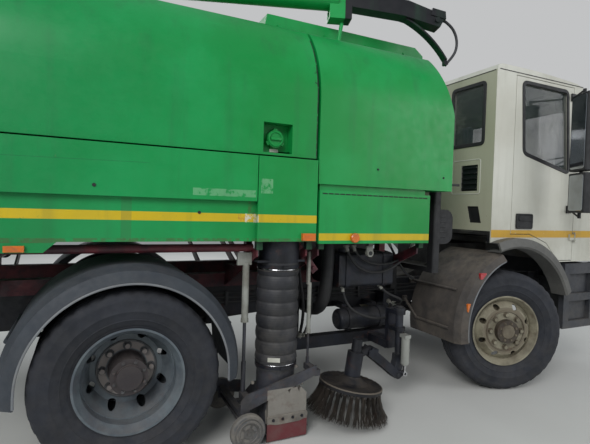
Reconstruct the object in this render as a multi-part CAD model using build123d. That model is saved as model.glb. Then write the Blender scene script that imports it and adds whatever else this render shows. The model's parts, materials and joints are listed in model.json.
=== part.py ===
from build123d import *
import math
import os

os.makedirs("parts", exist_ok=True)

# Street sweeper truck, millimetres, +Z up, +X forward, +Y to the driver's left.
# All x values are measured forward from the rear axle. The finished nodes are
# shifted so that the origin is on the ground at mid-length on the centre line.

# Overall
wheelbase = 3105
axle_height = 505
cab_front = wheelbase + 1255
bumper_front = wheelbase + 1315
tail_face = -1690
body_half_width = 1160
cab_half_width = 1050
running_gap = 6
seat_gap = 0.3
pin_gap = 0.1

# Tyres and wheels
tyre_radius = axle_height
tyre_width = 255
rim_radius = 298
rim_seat_radius = 286
twin_spacing = 310
rear_outer_tyre_y = 1052
kingpin_y = 830
front_tyre_offset = 196
steer_rest_deg = -19
stud_circle_radius = 137.5
stud_count = 8
stud_radius = 14
hand_hole_radius = 24
hand_hole_circle_radius = 212
spindle_radius = 40

# Ladder frame
rail_outer_y = 425
rail_height = 220
rail_flange = 70
rail_wall = 8
rail_top = 880
rail_rear = -1500
rail_front = wheelbase + 1075
crossmember_radius = 48
crossmember_stations = [-1380, -450, 650, 1300, 2000]

# Red subframe on top of the rails
beam_height = 100
beam_width = 80
beam_rear = -1600
beam_front = 2260
side_pipe_y = 1010
side_pipe_radius = 25
outrigger_thickness = 12
outrigger_stations = [-1510, -740, 740, 1085, 1175, 2020]

# Hopper and the fan module ahead of it
side_line = 1815
hull_half_width = 850
hull_bottom = 1280
curve_start = 2200
curve_end_y = 960
curve_end_z = 2685
roof_top = 2695
curve_radius = 688
body_wall = 30
hopper_front = 1110
module_rear = 1130
module_front = 2285
module_bottom = 1655
module_lean_start = 2230
module_top_front = 2190
door_thickness = 45
door_top = 2600
door_hinge_z = 2628
door_knuckle_radius = 22
door_pin_radius = 12
tailgate_hinge_y = hull_half_width - 270
clip_y = body_half_width + 40

# Hopper tipping gear: pin A and pin B are equally far from the tipping pivot
tip_x = -1550
tip_z = 1215
tip_pin_radius = 25
ram_arm = 700
ram_base_deg = -15
ram_eye_deg = 35
ram_y = 930
ram_thickness = 44
ram_barrel_radius = 45
ram_rod_radius = 27
ram_base_pin_radius = 30
ram_eye_pin_radius = 14
ram_eye_slot = 20

# Side panels and flaps
flap_rear = -634
flap_front = 700
flap_bottom = 1535
flap_top = 1803
flap_thickness = 25
flap_hinge_z = 1793
flap_pin_radius = 6
panel_plane = 1185
skirt_plane = 1150
skirt_bottom = 1280
skirt_notch_bottom = 1225
panel_rear = -1550
front_panel_front = 2050
front_panel_bottom = 1265
front_panel_top = 1615
post_depth = 40

# Cab
cab_rear = wheelbase - 255
cab_roof = 2765
cab_wall = 40
cab_bottom = 1070
cab_floor_line = 1315
cab_arch_front = wheelbase + 695
windscreen_foot = 1990
windscreen_head_x = wheelbase + 955
cab_tilt_x = wheelbase + 1225
cab_tilt_z = 965
tilt_pin_radius = 18
door_rear = wheelbase - 15
door_front = wheelbase + 825
door_sill = 1085
cab_door_top = 2690
door_hinge_radius = 9
door_hinge_x = door_front + 20
door_hinge_y = cab_half_width + 16
door_hinge_levels = (1300, 1750)
glass_thickness = 6

# Suction gear behind the front module, right side
hose_x = 930
hose_y = -1000
hose_radius = 142
hose_bore = 120
hose_top = 1135
hose_bottom = 435
lift_stroke = 150
# For each lift cylinder: x, barrel's low and high end, barrel and rod radius, foot of the thin rod
lift_posts = [(700, 760, 1118, 22, 11, 485), (1170, 645, 970, 14, 8, 460)]
lift_hanger_top = 1198
nozzle_plate_y = -1150
nozzle_inner_y = -600

# Side brush
brush_x = 1456
brush_y = -1070
brush_radius = 305
brush_disc_radius = 225
brush_tilt_deg = 9
brush_disc_z = 185
brush_disc_thickness = 26
motor_z = 262
motor_radius = 58
motor_height = 165
brush_tip_clearance = 12
swing_x = 2000
swing_y = -950
swing_pin_radius = 30
swing_low_lug = 560
swing_high_lug = 690
lift_hinge_x = 1965
lift_hinge_z = 230
lift_pin_radius = 14
brush_ram_x = 2010
brush_ram_z = 240
brush_ram_offset = 70
brush_rod_radius = 11
brush_ram_radius = 32
brush_ram_low = 320

# Wander-hose boom on the hopper roof
slew_x = -1100
boom_heading_deg = -19.2
boom_axis_z = 3028
boom_radius = 90
boom_pivot_z = 2960
column_radius = 110
boom_pin_radius = 16
luff_arm = 220
luff_base_deg = -75
luff_eye_deg = -15
luff_eye_pin_radius = 10
luff_rod_radius = 15
luff_barrel_radius = 28
hose_loop_radius = 10


def block(x0, x1, y0, y1, z0, z1):
    """Plain box between two corners."""
    return Pos((x0 + x1) / 2, (y0 + y1) / 2, (z0 + z1) / 2) * Box(x1 - x0, y1 - y0, z1 - z0)


def flat_face(outline):
    """Face inside a list of corner points; a ready face stays as it is."""
    return make_face(Polyline(*outline, close=True)) if isinstance(outline, list) else outline


def prism_y(outline, y0, y1):
    """Side-view outline of (x, z) points or a ready face, from y0 to y1."""
    plane = Plane(origin=(0, y1, 0), x_dir=(1, 0, 0), z_dir=(0, -1, 0))
    face = flat_face(outline)
    return extrude(plane * face, y1 - y0)


def prism_x(outline, x0, x1):
    """End-view outline of (y, z) points or a ready face, from x0 to x1."""
    face = flat_face(outline)
    return extrude(Plane.YZ.offset(x0) * face, x1 - x0)


def prism_z(outline, z0, z1):
    """Plan outline of (x, y) points or a ready face, from z0 to z1."""
    face = flat_face(outline)
    return extrude(Plane.XY.offset(z0) * face, z1 - z0)


def rounded(points, radius):
    """Face with every corner of the outline rounded."""
    return make_face(FilletPolyline(*points, radius=radius, close=True))


def bar(start, end, radius):
    """Round bar between two points."""
    start = Vector(*start)
    end = Vector(*end)
    way = end - start
    return Solid.make_cylinder(radius, way.length, Plane(origin=start, z_dir=way))


def tube(start, end, radius, bore):
    """Open tube between two points."""
    way = (Vector(*end) - Vector(*start)).normalized()
    inner = bar(Vector(*start) - way, Vector(*end) + way, bore)
    return bar(start, end, radius) - inner


def turned_y(profile, centre):
    """Ring or disc turned about an axis along y; profile is (radius, y from centre)."""
    face = make_face(Polyline(*profile, close=True))
    return Pos(*centre) * revolve(face, axis=Axis.Y)


def fused(*shapes):
    """One piece from overlapping pieces."""
    return Part() + [shape for shape in shapes]


def group(*shapes):
    """Separate solids in one node."""
    return Compound([solid for shape in shapes for solid in shape.solids()])


def both_sides(make):
    """The same piece on the right (side -1) and on the left (side 1)."""
    return group(make(-1), make(1))


def span(side, near, far):
    """y limits, lowest first, of something between two distances from the centre line."""
    return (near, far) if side > 0 else (-far, -near)


nodes = {}


# Frame rails with cross members and the rear underrun bar

def rail(side):
    inner = rail_outer_y - rail_flange
    low = rail_top - rail_height
    points = [
        (inner, low), (rail_outer_y, low), (rail_outer_y, rail_top), (inner, rail_top),
        (inner, rail_top - rail_wall), (rail_outer_y - rail_wall, rail_top - rail_wall),
        (rail_outer_y - rail_wall, low + rail_wall), (inner, low + rail_wall)]
    return prism_x([(side * y, z) for y, z in points], rail_rear, rail_front)


rail_mid = rail_top - rail_height / 2
web_face = rail_outer_y - rail_wall / 2
crossmembers = [
    bar((x, -web_face, rail_mid), (x, web_face, rail_mid), crossmember_radius)
    for x in crossmember_stations]
front_beam = block(rail_front - 90, rail_front, -web_face, web_face,
                   rail_top - rail_height + rail_wall, rail_top - rail_wall)
underrun_height = 120
underrun_bottom = 560
underrun = block(rail_rear - 90, rail_rear - 30, -1080, 1080,
                 underrun_bottom, underrun_bottom + underrun_height)
underrun_arms = [
    block(rail_rear - 50, rail_rear + 60, *span(side, rail_outer_y - 60, rail_outer_y),
          underrun_bottom, rail_top - 10)
    for side in (-1, 1)]
tow_bore_radius = 20
rear_tow_z = 770
rear_cross = block(rail_rear, rail_rear + 40, -web_face, web_face,
                   rail_top - rail_height + rail_wall, rail_top - rail_wall)
rear_tow_x = rail_rear - 115
rear_tow_eye = block(rear_tow_x - 35, rail_rear + 20, -60, 60, rear_tow_z - 15, rear_tow_z + 15)
rear_tow_eye -= bar((rear_tow_x, 0, rear_tow_z - 20), (rear_tow_x, 0, rear_tow_z + 20),
                    tow_bore_radius)
nodes["frame_rails"] = fused(rail(-1), rail(1), *crossmembers, front_beam, underrun,
                             *underrun_arms, rear_cross, rear_tow_eye)


# Red subframe: beams and ties, outriggers with side pipes, tipping pivot and ram seats

beam_bottom = rail_top + seat_gap
beam_top = beam_bottom + beam_height
beam_outer = rail_outer_y
beam_inner = beam_outer - beam_width
outrigger_end_y = skirt_plane - 10 - post_depth


def outrigger(x, side):
    root = beam_outer + seat_gap
    outline = [(root, beam_bottom + 10), (outrigger_end_y, tip_z - 35),
               (outrigger_end_y, tip_z + 30), (root, beam_top)]
    half = outrigger_thickness / 2
    return prism_x([(side * y, z) for y, z in outline], x - half, x + half)


def outrigger_side(side):
    rise = (side_pipe_y - beam_outer) / (outrigger_end_y - beam_outer)
    pipe_z = beam_top + rise * (tip_z + 30 - beam_top) + side_pipe_radius - 6
    pipe = bar((outrigger_stations[0], side * side_pipe_y, pipe_z),
               (outrigger_stations[2], side * side_pipe_y, pipe_z), side_pipe_radius)
    comb = fused(pipe, *[outrigger(x, side) for x in outrigger_stations[:3]])
    return [comb, *[outrigger(x, side) for x in outrigger_stations[3:]]]


ear_radius = 44
beam_seat = beam_top + seat_gap
pivot_ears = []
for side in (-1, 1):
    for near in (beam_inner, beam_outer - 20):
        y0, y1 = span(side, near, near + 20)
        ear = prism_y([(tip_x - ear_radius, beam_seat), (tip_x + ear_radius * 2, beam_seat),
                       (tip_x + ear_radius, tip_z), (tip_x - ear_radius, tip_z)], y0, y1)
        pivot_ears += [ear, bar((tip_x, y0, tip_z), (tip_x, y1, tip_z), ear_radius)]
pivot_pin = bar((tip_x, -beam_outer - 8, tip_z), (tip_x, beam_outer + 8, tip_z), tip_pin_radius)

ram_base_x = tip_x + ram_arm * math.cos(math.radians(ram_base_deg))
ram_base_z = tip_z + ram_arm * math.sin(math.radians(ram_base_deg))
ram_eye_x = tip_x + ram_arm * math.cos(math.radians(ram_eye_deg))
ram_eye_z = tip_z + ram_arm * math.sin(math.radians(ram_eye_deg))
ram_cross_tube = bar((ram_base_x, -ram_y - ram_thickness / 2 - 12, ram_base_z),
                     (ram_base_x, ram_y + ram_thickness / 2 + 12, ram_base_z), ram_base_pin_radius)
ram_saddles = [
    block(ram_base_x - 45, ram_base_x + 45, *span(side, beam_inner, beam_outer),
          beam_seat, ram_base_z)
    for side in (-1, 1)]
subframe_ties = [
    block(x - 30, x + 30, -beam_inner - 5, beam_inner + 5, beam_bottom, beam_top - 20)
    for x in (-1300, -250, 1000, 2200)]
module_uprights = [
    block(x - 30, x + 30, *span(side, beam_inner, beam_outer), beam_top - 5,
          module_bottom - seat_gap)
    for x in (1200, 2200) for side in (-1, 1)]
subframe_beams = [
    block(beam_rear, beam_front, *span(side, beam_inner, beam_outer), beam_bottom, beam_top)
    for side in (-1, 1)]
nodes["subframe"] = fused(*subframe_beams, *subframe_ties, *module_uprights)
nodes["outriggers"] = group(*outrigger_side(-1), *outrigger_side(1))
nodes["tipping_pivot"] = group(fused(*pivot_ears, pivot_pin), fused(ram_cross_tube, *ram_saddles))


# Axles and springs

spring_y = rail_outer_y - rail_flange / 2
spring_width = 70
rail_low = rail_top - rail_height
rear_tube_radius = 62
rear_spindle_end = rear_outer_tyre_y - 60
axle_nose_end = (330, 0, axle_height + 30)


def rear_axle_shape():
    tube_end = rear_outer_tyre_y - twin_spacing - tyre_width / 2 - 20
    parts = [bar((0, -tube_end, axle_height), (0, tube_end, axle_height), rear_tube_radius),
             bar((0, -rear_spindle_end, axle_height), (0, rear_spindle_end, axle_height),
                 spindle_radius)]
    banjo = turned_y([(0, -150), (120, -150), (205, -70), (205, 70), (120, 150), (0, 150)],
                     (0, 0, axle_height))
    nose = bar((0, 0, axle_height), axle_nose_end, 85)
    return fused(*parts, banjo, nose)


nodes["rear_axle"] = rear_axle_shape()

front_beam_drop = 75
kingpin_radius = 18
eye_radius = 36
eye_half_height = 52


def front_axle_shape():
    z = axle_height
    low = z - front_beam_drop
    outline = [(-kingpin_y, z - 35), (-kingpin_y + 55, z - 35), (-kingpin_y + 170, low - 45),
               (kingpin_y - 170, low - 45), (kingpin_y - 55, z - 35), (kingpin_y, z - 35),
               (kingpin_y, z + 35), (kingpin_y - 60, z + 35), (kingpin_y - 180, low + 45),
               (-kingpin_y + 180, low + 45), (-kingpin_y + 60, z + 35), (-kingpin_y, z + 35)]
    beam = prism_x(outline, wheelbase - 40, wheelbase + 40)
    web_cut = [(-kingpin_y + 220, low - 22), (kingpin_y - 220, low - 22),
               (kingpin_y - 220, low + 22), (-kingpin_y + 220, low + 22)]
    for x0, x1 in ((wheelbase - 45, wheelbase - 12), (wheelbase + 12, wheelbase + 45)):
        beam -= prism_x(web_cut, x0, x1)
    parts = []
    for side in (-1, 1):
        y = side * kingpin_y
        parts.append(bar((wheelbase, y, z - eye_half_height), (wheelbase, y, z + eye_half_height),
                         eye_radius))
        parts.append(bar((wheelbase, y, z - eye_half_height - 30),
                         (wheelbase, y, z + eye_half_height + 30), kingpin_radius))
        beam -= prism_z([(wheelbase - 60, y), (wheelbase + 60, y), (wheelbase + 60, y + side * 60),
                         (wheelbase - 60, y + side * 60)], z - 90, z + 90)
    return fused(beam, *parts)


nodes["front_axle"] = front_axle_shape()


def leaf_pack(axle_x, half_span, seat_z, leaves):
    """Bowed leaves, hangers and axle clamp under one rail, on both sides."""
    thickness = 16
    rise = rail_low - 30 - seat_z - leaves * thickness
    pieces = []
    for side in (-1, 1):
        y0, y1 = span(side, spring_y - spring_width / 2, spring_y + spring_width / 2)
        stack = []
        for leaf in range(leaves):
            reach = half_span * (1 - 0.24 * (leaves - 1 - leaf))
            low = seat_z + leaf * thickness
            lift = rise * (reach / half_span) ** 2
            top = [(axle_x - reach, low + thickness + lift), (axle_x, low + thickness),
                   (axle_x + reach, low + thickness + lift)]
            bottom = [(axle_x + reach, low + lift), (axle_x, low), (axle_x - reach, low + lift)]
            upper = ThreePointArc(*top)
            lower = ThreePointArc(*bottom)
            ends = [Line(top[2], bottom[0]), Line(bottom[2], top[0])]
            stack.append(prism_y(make_face([upper, lower, *ends]), y0, y1))
        for end in (-1, 1):
            x = axle_x + end * half_span
            stack.append(block(x - 25, x + 25, y0, y1, rail_low - 60, rail_low - seat_gap))
        stack.append(block(axle_x - 70, axle_x + 70, y0 - 6, y1 + 6, seat_z - 8,
                           seat_z + leaves * thickness + 14))
        pieces.append(fused(*stack))
    return pieces


nodes["leaf_springs"] = group(
    *leaf_pack(0, 620, axle_height + rear_tube_radius + 8 + seat_gap, 2),
    *leaf_pack(wheelbase, 640, axle_height - front_beam_drop + 45 + 8 + seat_gap, 3))


# Knuckles, turned to the right as the truck stands

def knuckle(side):
    z = axle_height
    y = side * kingpin_y
    parts = []
    for low in (z - eye_half_height - 28, z + eye_half_height + 2):
        y0, y1 = sorted((y, y + side * 70))
        arm = block(wheelbase - 34, wheelbase + 34, y0, y1, low, low + 26)
        arm = arm + bar((wheelbase, y, low), (wheelbase, y, low + 26), 34)
        arm -= bar((wheelbase, y, low - 5), (wheelbase, y, low + 31), kingpin_radius + pin_gap)
        parts.append(arm)
    y0, y1 = sorted((y + side * 46, y + side * 72))
    parts.append(block(wheelbase - 50, wheelbase + 50, y0, y1, z - 80, z + 80))
    stub_end = y + side * (front_tyre_offset + 40)
    parts.append(bar((wheelbase, y + side * 60, z), (wheelbase, stub_end, z), spindle_radius))
    steer_arm = prism_z([(wheelbase - 170, y - side * 8), (wheelbase - 170, y + side * 20),
                         (wheelbase - 30, y + side * 70), (wheelbase - 30, y + side * 40)],
                        z - 80, z - 60)
    parts.append(steer_arm)
    return fused(*parts)


def steered(shape, side):
    """Turns a front-wheel piece about its kingpin to the resting steer angle."""
    centre = Pos(wheelbase, side * kingpin_y, 0)
    return centre * Rot(0, 0, steer_rest_deg) * centre.inverse() * shape


for name, side in (("right", -1), ("left", 1)):
    nodes["knuckle_" + name] = steered(knuckle(side), side)


# Wheels and tyres

rim_half_width = 98
rim_seat_end = 60


def ring_holes(circle_radius, hole_radius, count, offset_deg, y0, y1, centre):
    holes = []
    for index in range(count):
        angle = math.radians(offset_deg + 360 * index / count)
        x = centre[0] + circle_radius * math.cos(angle)
        z = centre[2] + circle_radius * math.sin(angle)
        holes.append(bar((x, y0, z), (x, y1, z), hole_radius))
    return holes


def rim(centre, side, disc_y):
    """Rim barrel with its dished disc; disc_y is the bolting face from the rim's middle."""
    s = side
    barrel = turned_y(
        [(rim_radius, -rim_half_width), (rim_seat_radius, -rim_half_width + 12),
         (rim_seat_radius, -rim_seat_end), (rim_seat_radius - 18, -45),
         (rim_seat_radius - 18, 45), (rim_seat_radius, rim_seat_end),
         (rim_seat_radius, rim_half_width - 12), (rim_radius, rim_half_width),
         (rim_radius - 12, rim_half_width), (rim_seat_radius - 30, 50),
         (rim_seat_radius - 30, -50), (rim_radius - 12, -rim_half_width)], centre)
    root = rim_seat_radius - 22
    d = s * disc_y
    near = math.copysign(min(abs(d), 55), d)
    face = turned_y(
        [(85, d - 7), (180, d - 7), (205, d - 7), (root - 13, near * 0.5 - 7), (root, near * 0.5 - 7),
         (root, near * 0.5 + 7), (root - 13, near * 0.5 + 7), (205, d + 7), (180, d + 7), (85, d + 7)],
        centre)
    y_low = centre[1] + min(d, 0) - 40
    y_high = centre[1] + max(d, 0) + 40
    for hole in ring_holes(hand_hole_circle_radius, hand_hole_radius, stud_count, 22.5,
                           y_low, y_high, centre):
        face -= hole
    return barrel, face


def studs(centre, y0, y1):
    return [bar(h[0], h[1], stud_radius) for h in stud_lines(centre, y0, y1)]


def stud_lines(centre, y0, y1):
    lines = []
    for index in range(stud_count):
        angle = math.radians(360 * index / stud_count)
        x = centre[0] + stud_circle_radius * math.cos(angle)
        z = centre[2] + stud_circle_radius * math.sin(angle)
        lines.append(((x, y0, z), (x, y1, z)))
    return lines


def tyre(centre):
    """Tyre section with rounded shoulders, bead on the rim's seat."""
    bead = rim_seat_radius + seat_gap
    half = tyre_width / 2
    inner = rim_half_width - 14
    edge = [(bead, -inner), (bead + 22, -inner - 2), (390, -half), (460, -half + 6),
            (tyre_radius - 10, -half + 22), (tyre_radius, -half + 48),
            (tyre_radius, half - 48), (tyre_radius - 10, half - 22), (460, half - 6),
            (390, half), (bead + 22, inner + 2), (bead, inner), (bead, inner - 20),
            (bead + 25, inner - 24), (380, half - 30), (tyre_radius - 32, half - 50),
            (tyre_radius - 32, -half + 50), (380, -half + 30), (bead + 25, -inner + 24),
            (bead, -inner + 20)]
    return turned_y(edge, centre)


def front_wheel(side):
    centre = (wheelbase, side * (kingpin_y + front_tyre_offset), axle_height)
    disc_y = 84
    barrel, face = rim(centre, side, disc_y)
    hub_out = centre[1] + side * (disc_y + 50)
    hub_in = centre[1] - side * 110
    hub = bar((wheelbase, hub_in, axle_height), (wheelbase, hub_out, axle_height), 96)
    drum = bar((wheelbase, hub_in, axle_height), (wheelbase, centre[1], axle_height), 190)
    bore = bar((wheelbase, hub_in - side * 5, axle_height),
               (wheelbase, centre[1] + side * 40.2, axle_height), spindle_radius + pin_gap)
    flange = bar((wheelbase, centre[1] + side * 20, axle_height),
                 (wheelbase, centre[1] + side * (disc_y - 6), axle_height), 168)
    nuts = studs(centre, centre[1] + side * disc_y, centre[1] + side * (disc_y + 30))
    return fused(barrel, face, hub, drum, flange, *nuts) - bore


def rear_wheel(side):
    outer = (0, side * rear_outer_tyre_y, axle_height)
    inner = (0, side * (rear_outer_tyre_y - twin_spacing), axle_height)
    disc_y = twin_spacing / 2 - 6
    barrel_o, face_o = rim(outer, side, -disc_y)
    barrel_i, face_i = rim(inner, side, disc_y)
    middle = side * (rear_outer_tyre_y - twin_spacing / 2)
    hub_in = inner[1] - side * 70
    hub_out = outer[1] + side * 20
    drum = bar((0, hub_in, axle_height), (0, middle - side * 30, axle_height), 190)
    plate = bar((0, middle - side * 32, axle_height), (0, middle, axle_height), 168)
    hub = bar((0, hub_in, axle_height), (0, hub_out, axle_height), 104)
    cap = bar((0, hub_out - side * 5, axle_height), (0, hub_out + side * 22, axle_height), 70)
    bore = bar((0, hub_in - side * 5, axle_height),
               (0, side * (rear_spindle_end + 0.2), axle_height), spindle_radius + pin_gap)
    nuts = studs(outer, middle, middle + side * 45)
    return fused(barrel_o, face_o, barrel_i, face_i, drum, plate, hub, cap, *nuts) - bore


for name, side in (("right", -1), ("left", 1)):
    front_centre = (wheelbase, side * (kingpin_y + front_tyre_offset), axle_height)
    nodes["front_wheel_" + name] = steered(front_wheel(side), side)
    nodes["front_tyre_" + name] = steered(tyre(front_centre), side)
    nodes["rear_wheels_" + name] = rear_wheel(side)
    nodes["rear_tyres_" + name] = group(
        tyre((0, side * rear_outer_tyre_y, axle_height)),
        tyre((0, side * (rear_outer_tyre_y - twin_spacing), axle_height)))


# Truck engine, gearbox and propeller shaft

engine_rear = wheelbase - 145
engine_nose = wheelbase + 545
engine_top = 1190


def driveline_shape():
    engine = block(engine_rear, engine_nose, -300, 300, 660, engine_top)
    sump = block(engine_rear + 250, engine_nose - 60, -200, 200, 545, 665)
    arms = [block(x - 40, x + 40, *span(side, 295, rail_outer_y - rail_wall - seat_gap), 740, 800)
            for x in (engine_rear + 120, engine_nose - 120) for side in (-1, 1)]
    gearbox = prism_y([(engine_rear - 560, 645), (engine_rear + 5, 640), (engine_rear + 5, 980),
                       (engine_rear - 280, 870), (engine_rear - 560, 840)], -190, 190)
    nose = Vector(*axle_nose_end)
    shaft = bar((engine_rear - 550, 0, 700), nose + nose.normalized() * seat_gap + Vector(0.4, 0, 0), 45)
    return fused(engine, sump, *arms, gearbox, shaft)


nodes["driveline"] = driveline_shape()

# Sweeping engine with its fan casing, inside the front module

fan_x = 1750
fan_radius = 340
fan_neck_radius = 190


def sweeper_engine_shape():
    bed = beam_top + seat_gap
    engine = block(1330, 2120, -330, 330, bed + 60, 1600)
    feet = [block(x - 40, x + 40, *span(side, beam_inner - 60, beam_outer - 5), bed, bed + 65)
            for x in (1380, 2080) for side in (-1, 1)]
    casing = bar((fan_x, 0, 1595), (fan_x, 0, 2480), fan_radius)
    neck = bar((fan_x, 0, 2475), (fan_x, 0, roof_top - 2), fan_neck_radius)
    return fused(engine, *feet, casing, neck)


nodes["sweeper_engine"] = sweeper_engine_shape()


# Tanks: fuel and batteries on the left, hydraulic oil and brake air on the right

oil_tank_rear = 1490
oil_tank_front = 1990
air_tank_y = -620
air_tank_z = 600
air_tank_radius = 85


def tank_shapes():
    tank = prism_x(rounded([(520, 430), (1060, 430), (1060, 895), (520, 895)], 70), 900, 1560)
    battery = prism_x(rounded([(520, 500), (1020, 500), (1020, 880), (520, 880)], 20), 1640, 2060)
    brackets = [prism_x([(rail_outer_y + seat_gap, 690), (525, 640), (525, 850),
                         (rail_outer_y + seat_gap, 850)], x - 20, x + 20)
                for x in (1000, 1460, 1700, 2000)]
    cap = bar((1480, 900, 890), (1480, 900, 925), 45)
    oil = prism_x(rounded([(-860, 905), (-445, 905), (-445, 1160), (-860, 1160)], 25),
                  oil_tank_rear, oil_tank_front)
    oil_cap = bar((oil_tank_rear + 80, -760, 1155), (oil_tank_rear + 80, -760, 1190), 32)
    straps = [prism_x(rounded([(-866, 899), (-439, 899), (-439, 1166), (-866, 1166)], 30), x, x + 40)
              for x in (oil_tank_rear + 60, oil_tank_front - 100)]
    oil_arms = [block(x, x + 40, -450, -rail_outer_y - seat_gap, beam_bottom + 30, beam_top - 5)
                for x in (oil_tank_rear + 60, oil_tank_front - 100)]
    air = bar((1620, air_tank_y, air_tank_z), (2120, air_tank_y, air_tank_z), air_tank_radius)
    air = fillet(air.edges().filter_by(GeomType.CIRCLE), 30)
    air_arms = [block(x - 20, x + 20, air_tank_y + 40, -rail_outer_y - seat_gap,
                      air_tank_z + 70, air_tank_z + 110) for x in (1720, 2020)]
    air_bands = [bar((x - 20, air_tank_y, air_tank_z), (x + 20, air_tank_y, air_tank_z),
                     air_tank_radius + 6) for x in (1720, 2020)]
    return group(fused(tank, cap, *brackets[:2]), fused(battery, *brackets[2:]),
                 fused(oil, oil_cap, *straps, *oil_arms), fused(air, *air_arms, *air_bands))


nodes["tanks"] = tank_shapes()


# Air intake between module and cab

intake_post_rear = module_front - 23
intake_post_front = module_front + 47
intake_front = module_front + 0.32 * (cab_rear - module_front)
intake_bend = 0.375 * (intake_front - intake_post_rear)


def intake_shape():
    post = prism_z(rounded([(intake_post_rear, -1010), (intake_post_front, -1010),
                            (intake_post_front, -930), (intake_post_rear, -930)], 15),
                   1010, module_bottom - seat_gap)
    duct = prism_y(rounded([(intake_post_rear + 5, 1242), (intake_front, 1242), (intake_front, 1519),
                            (intake_post_rear + 5, 1519)], intake_bend), -1000, -800)
    foot = block(intake_post_rear + 5, intake_post_front - 5, -1000, -rail_outer_y - seat_gap,
                 1010, 1050)
    knee = block(intake_post_rear + 5, intake_post_front - 5, -rail_outer_y - 60,
                 -rail_outer_y - seat_gap, 800, 1045)
    return fused(post, duct, foot, knee)


nodes["air_intake"] = intake_shape()


# Front bumper with side steps

bumper_low = 430
bumper_top = 1005
step_top = 1050
step_rear = wheelbase + 745
bumper_wall = 50
front_tow_z = 600


def bumper_shape():
    outer = make_face(FilletPolyline(
        (step_rear, -cab_half_width), (bumper_front, -cab_half_width),
        (bumper_front, cab_half_width), (step_rear, cab_half_width),
        (step_rear, cab_half_width - bumper_wall),
        (bumper_front - bumper_wall, cab_half_width - bumper_wall),
        (bumper_front - bumper_wall, -cab_half_width + bumper_wall),
        (step_rear, -cab_half_width + bumper_wall), close=True,
        radius=[0.5, 160, 160, 0.5, 0.5, 110, 110, 0.5]))
    shell = prism_z(outer, bumper_low, step_top)
    slope = prism_y([(step_rear - 10, step_top + 10), (bumper_front - 80, step_top),
                     (bumper_front + 10, bumper_top - 5), (bumper_front + 10, step_top + 10)],
                    -cab_half_width - 10, cab_half_width + 10)
    shell -= slope
    for side in (-1, 1):
        y0, y1 = span(side, cab_half_width - 40, cab_half_width + 10)
        for low in (500, 760):
            shell -= block(step_rear + 80, step_rear + 400, y0, y1, low, low + 190)
            y2, y3 = span(side, cab_half_width - 200, cab_half_width - 30)
            shell += block(step_rear + 60, step_rear + 420, y2, y3, low - 30, low)
        y0, y1 = span(side, 560, 900)
        shell -= block(bumper_front - 35, bumper_front + 5, y0, y1, 700, 860)
    grille_slots = [block(bumper_front - 30, bumper_front + 5, -420, 420, z, z + 35)
                    for z in (880, 820, 760, 700)]
    for slot in grille_slots:
        shell -= slot
    for side in (-1, 1):
        y0, y1 = span(side, 457, 523)
        shell -= block(bumper_front - bumper_wall - 5, bumper_front + 5, y0, y1,
                       cab_tilt_z - 50, step_top + 10)
    arms = [block(rail_front + seat_gap, bumper_front - bumper_wall + 5,
                  *span(side, rail_outer_y - 70, rail_outer_y), rail_low + 10, rail_top - 10)
            for side in (-1, 1)]
    eye = block(rail_front + seat_gap, bumper_front - 20, -330, -230,
                front_tow_z - 20, front_tow_z + 20)
    eye += block(rail_front + seat_gap, rail_front + 40, -330, -230, front_tow_z - 20, rail_low + 50)
    eye += block(rail_front + seat_gap, rail_front + 40, -420, -230, rail_low + 10, rail_low + 60)
    eye -= bar((bumper_front - bumper_wall - 60, -280, front_tow_z - 30),
               (bumper_front - bumper_wall - 60, -280, front_tow_z + 30), tow_bore_radius)
    tilt_posts = []
    for side in (-1, 1):
        for near in (430, 520):
            y0, y1 = span(side, near, near + 30)
            post = prism_y([(cab_tilt_x - 40, rail_top - 60), (cab_tilt_x + 40, rail_top - 60),
                            (cab_tilt_x + 34, cab_tilt_z), (cab_tilt_x - 34, cab_tilt_z)], y0, y1)
            tilt_posts += [post, bar((cab_tilt_x, y0, cab_tilt_z), (cab_tilt_x, y1, cab_tilt_z), 34)]
        y0, y1 = span(side, 350, 560)
        tilt_posts.append(block(cab_tilt_x - 45, bumper_front - bumper_wall + 5, y0, y1,
                                rail_top - 70, rail_top - 40))
        y0, y1 = span(side, 425, 555)
        tilt_posts.append(bar((cab_tilt_x, y0, cab_tilt_z), (cab_tilt_x, y1, cab_tilt_z),
                              tilt_pin_radius))
    return fused(shell, *arms, eye, *tilt_posts)


nodes["front_bumper"] = bumper_shape()


# Lamps: headlamps in the bumper, orange side lamps, tail lamps

def lamps_shape():
    pieces = []
    for side in (-1, 1):
        y0, y1 = span(side, 560 + seat_gap, 900 - seat_gap)
        lens = prism_x(rounded([(y0, 700.3), (y1, 700.3), (y1, 859.7), (y0, 859.7)], 25),
                       bumper_front - 35 + seat_gap, bumper_front - 4)
        pieces.append(lens)
        y0, y1 = span(side, skirt_plane, skirt_plane + 22)
        pieces.append(block(-598, -510, y0, y1, 1231, 1262))
        y0, y1 = span(side, panel_plane, panel_plane + 22)
        pieces.append(block(1004, 1096, y0, y1, 1286, 1333))
        pieces.append(block(1375, 1425, y0, y1, 1290, 1318))
        y0, y1 = span(side, 760, 1060)
        pieces.append(prism_x(rounded([(y0, 568), (y1, 568), (y1, 672), (y0, 672)], 15),
                              rail_rear - 90 - 32, rail_rear - 90))
    return group(*pieces)


nodes["lamps"] = lamps_shape()


# Mudguards: arched shells with a rolled outer lip

rear_guard_radius = 640
guard_wall = 6


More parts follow.
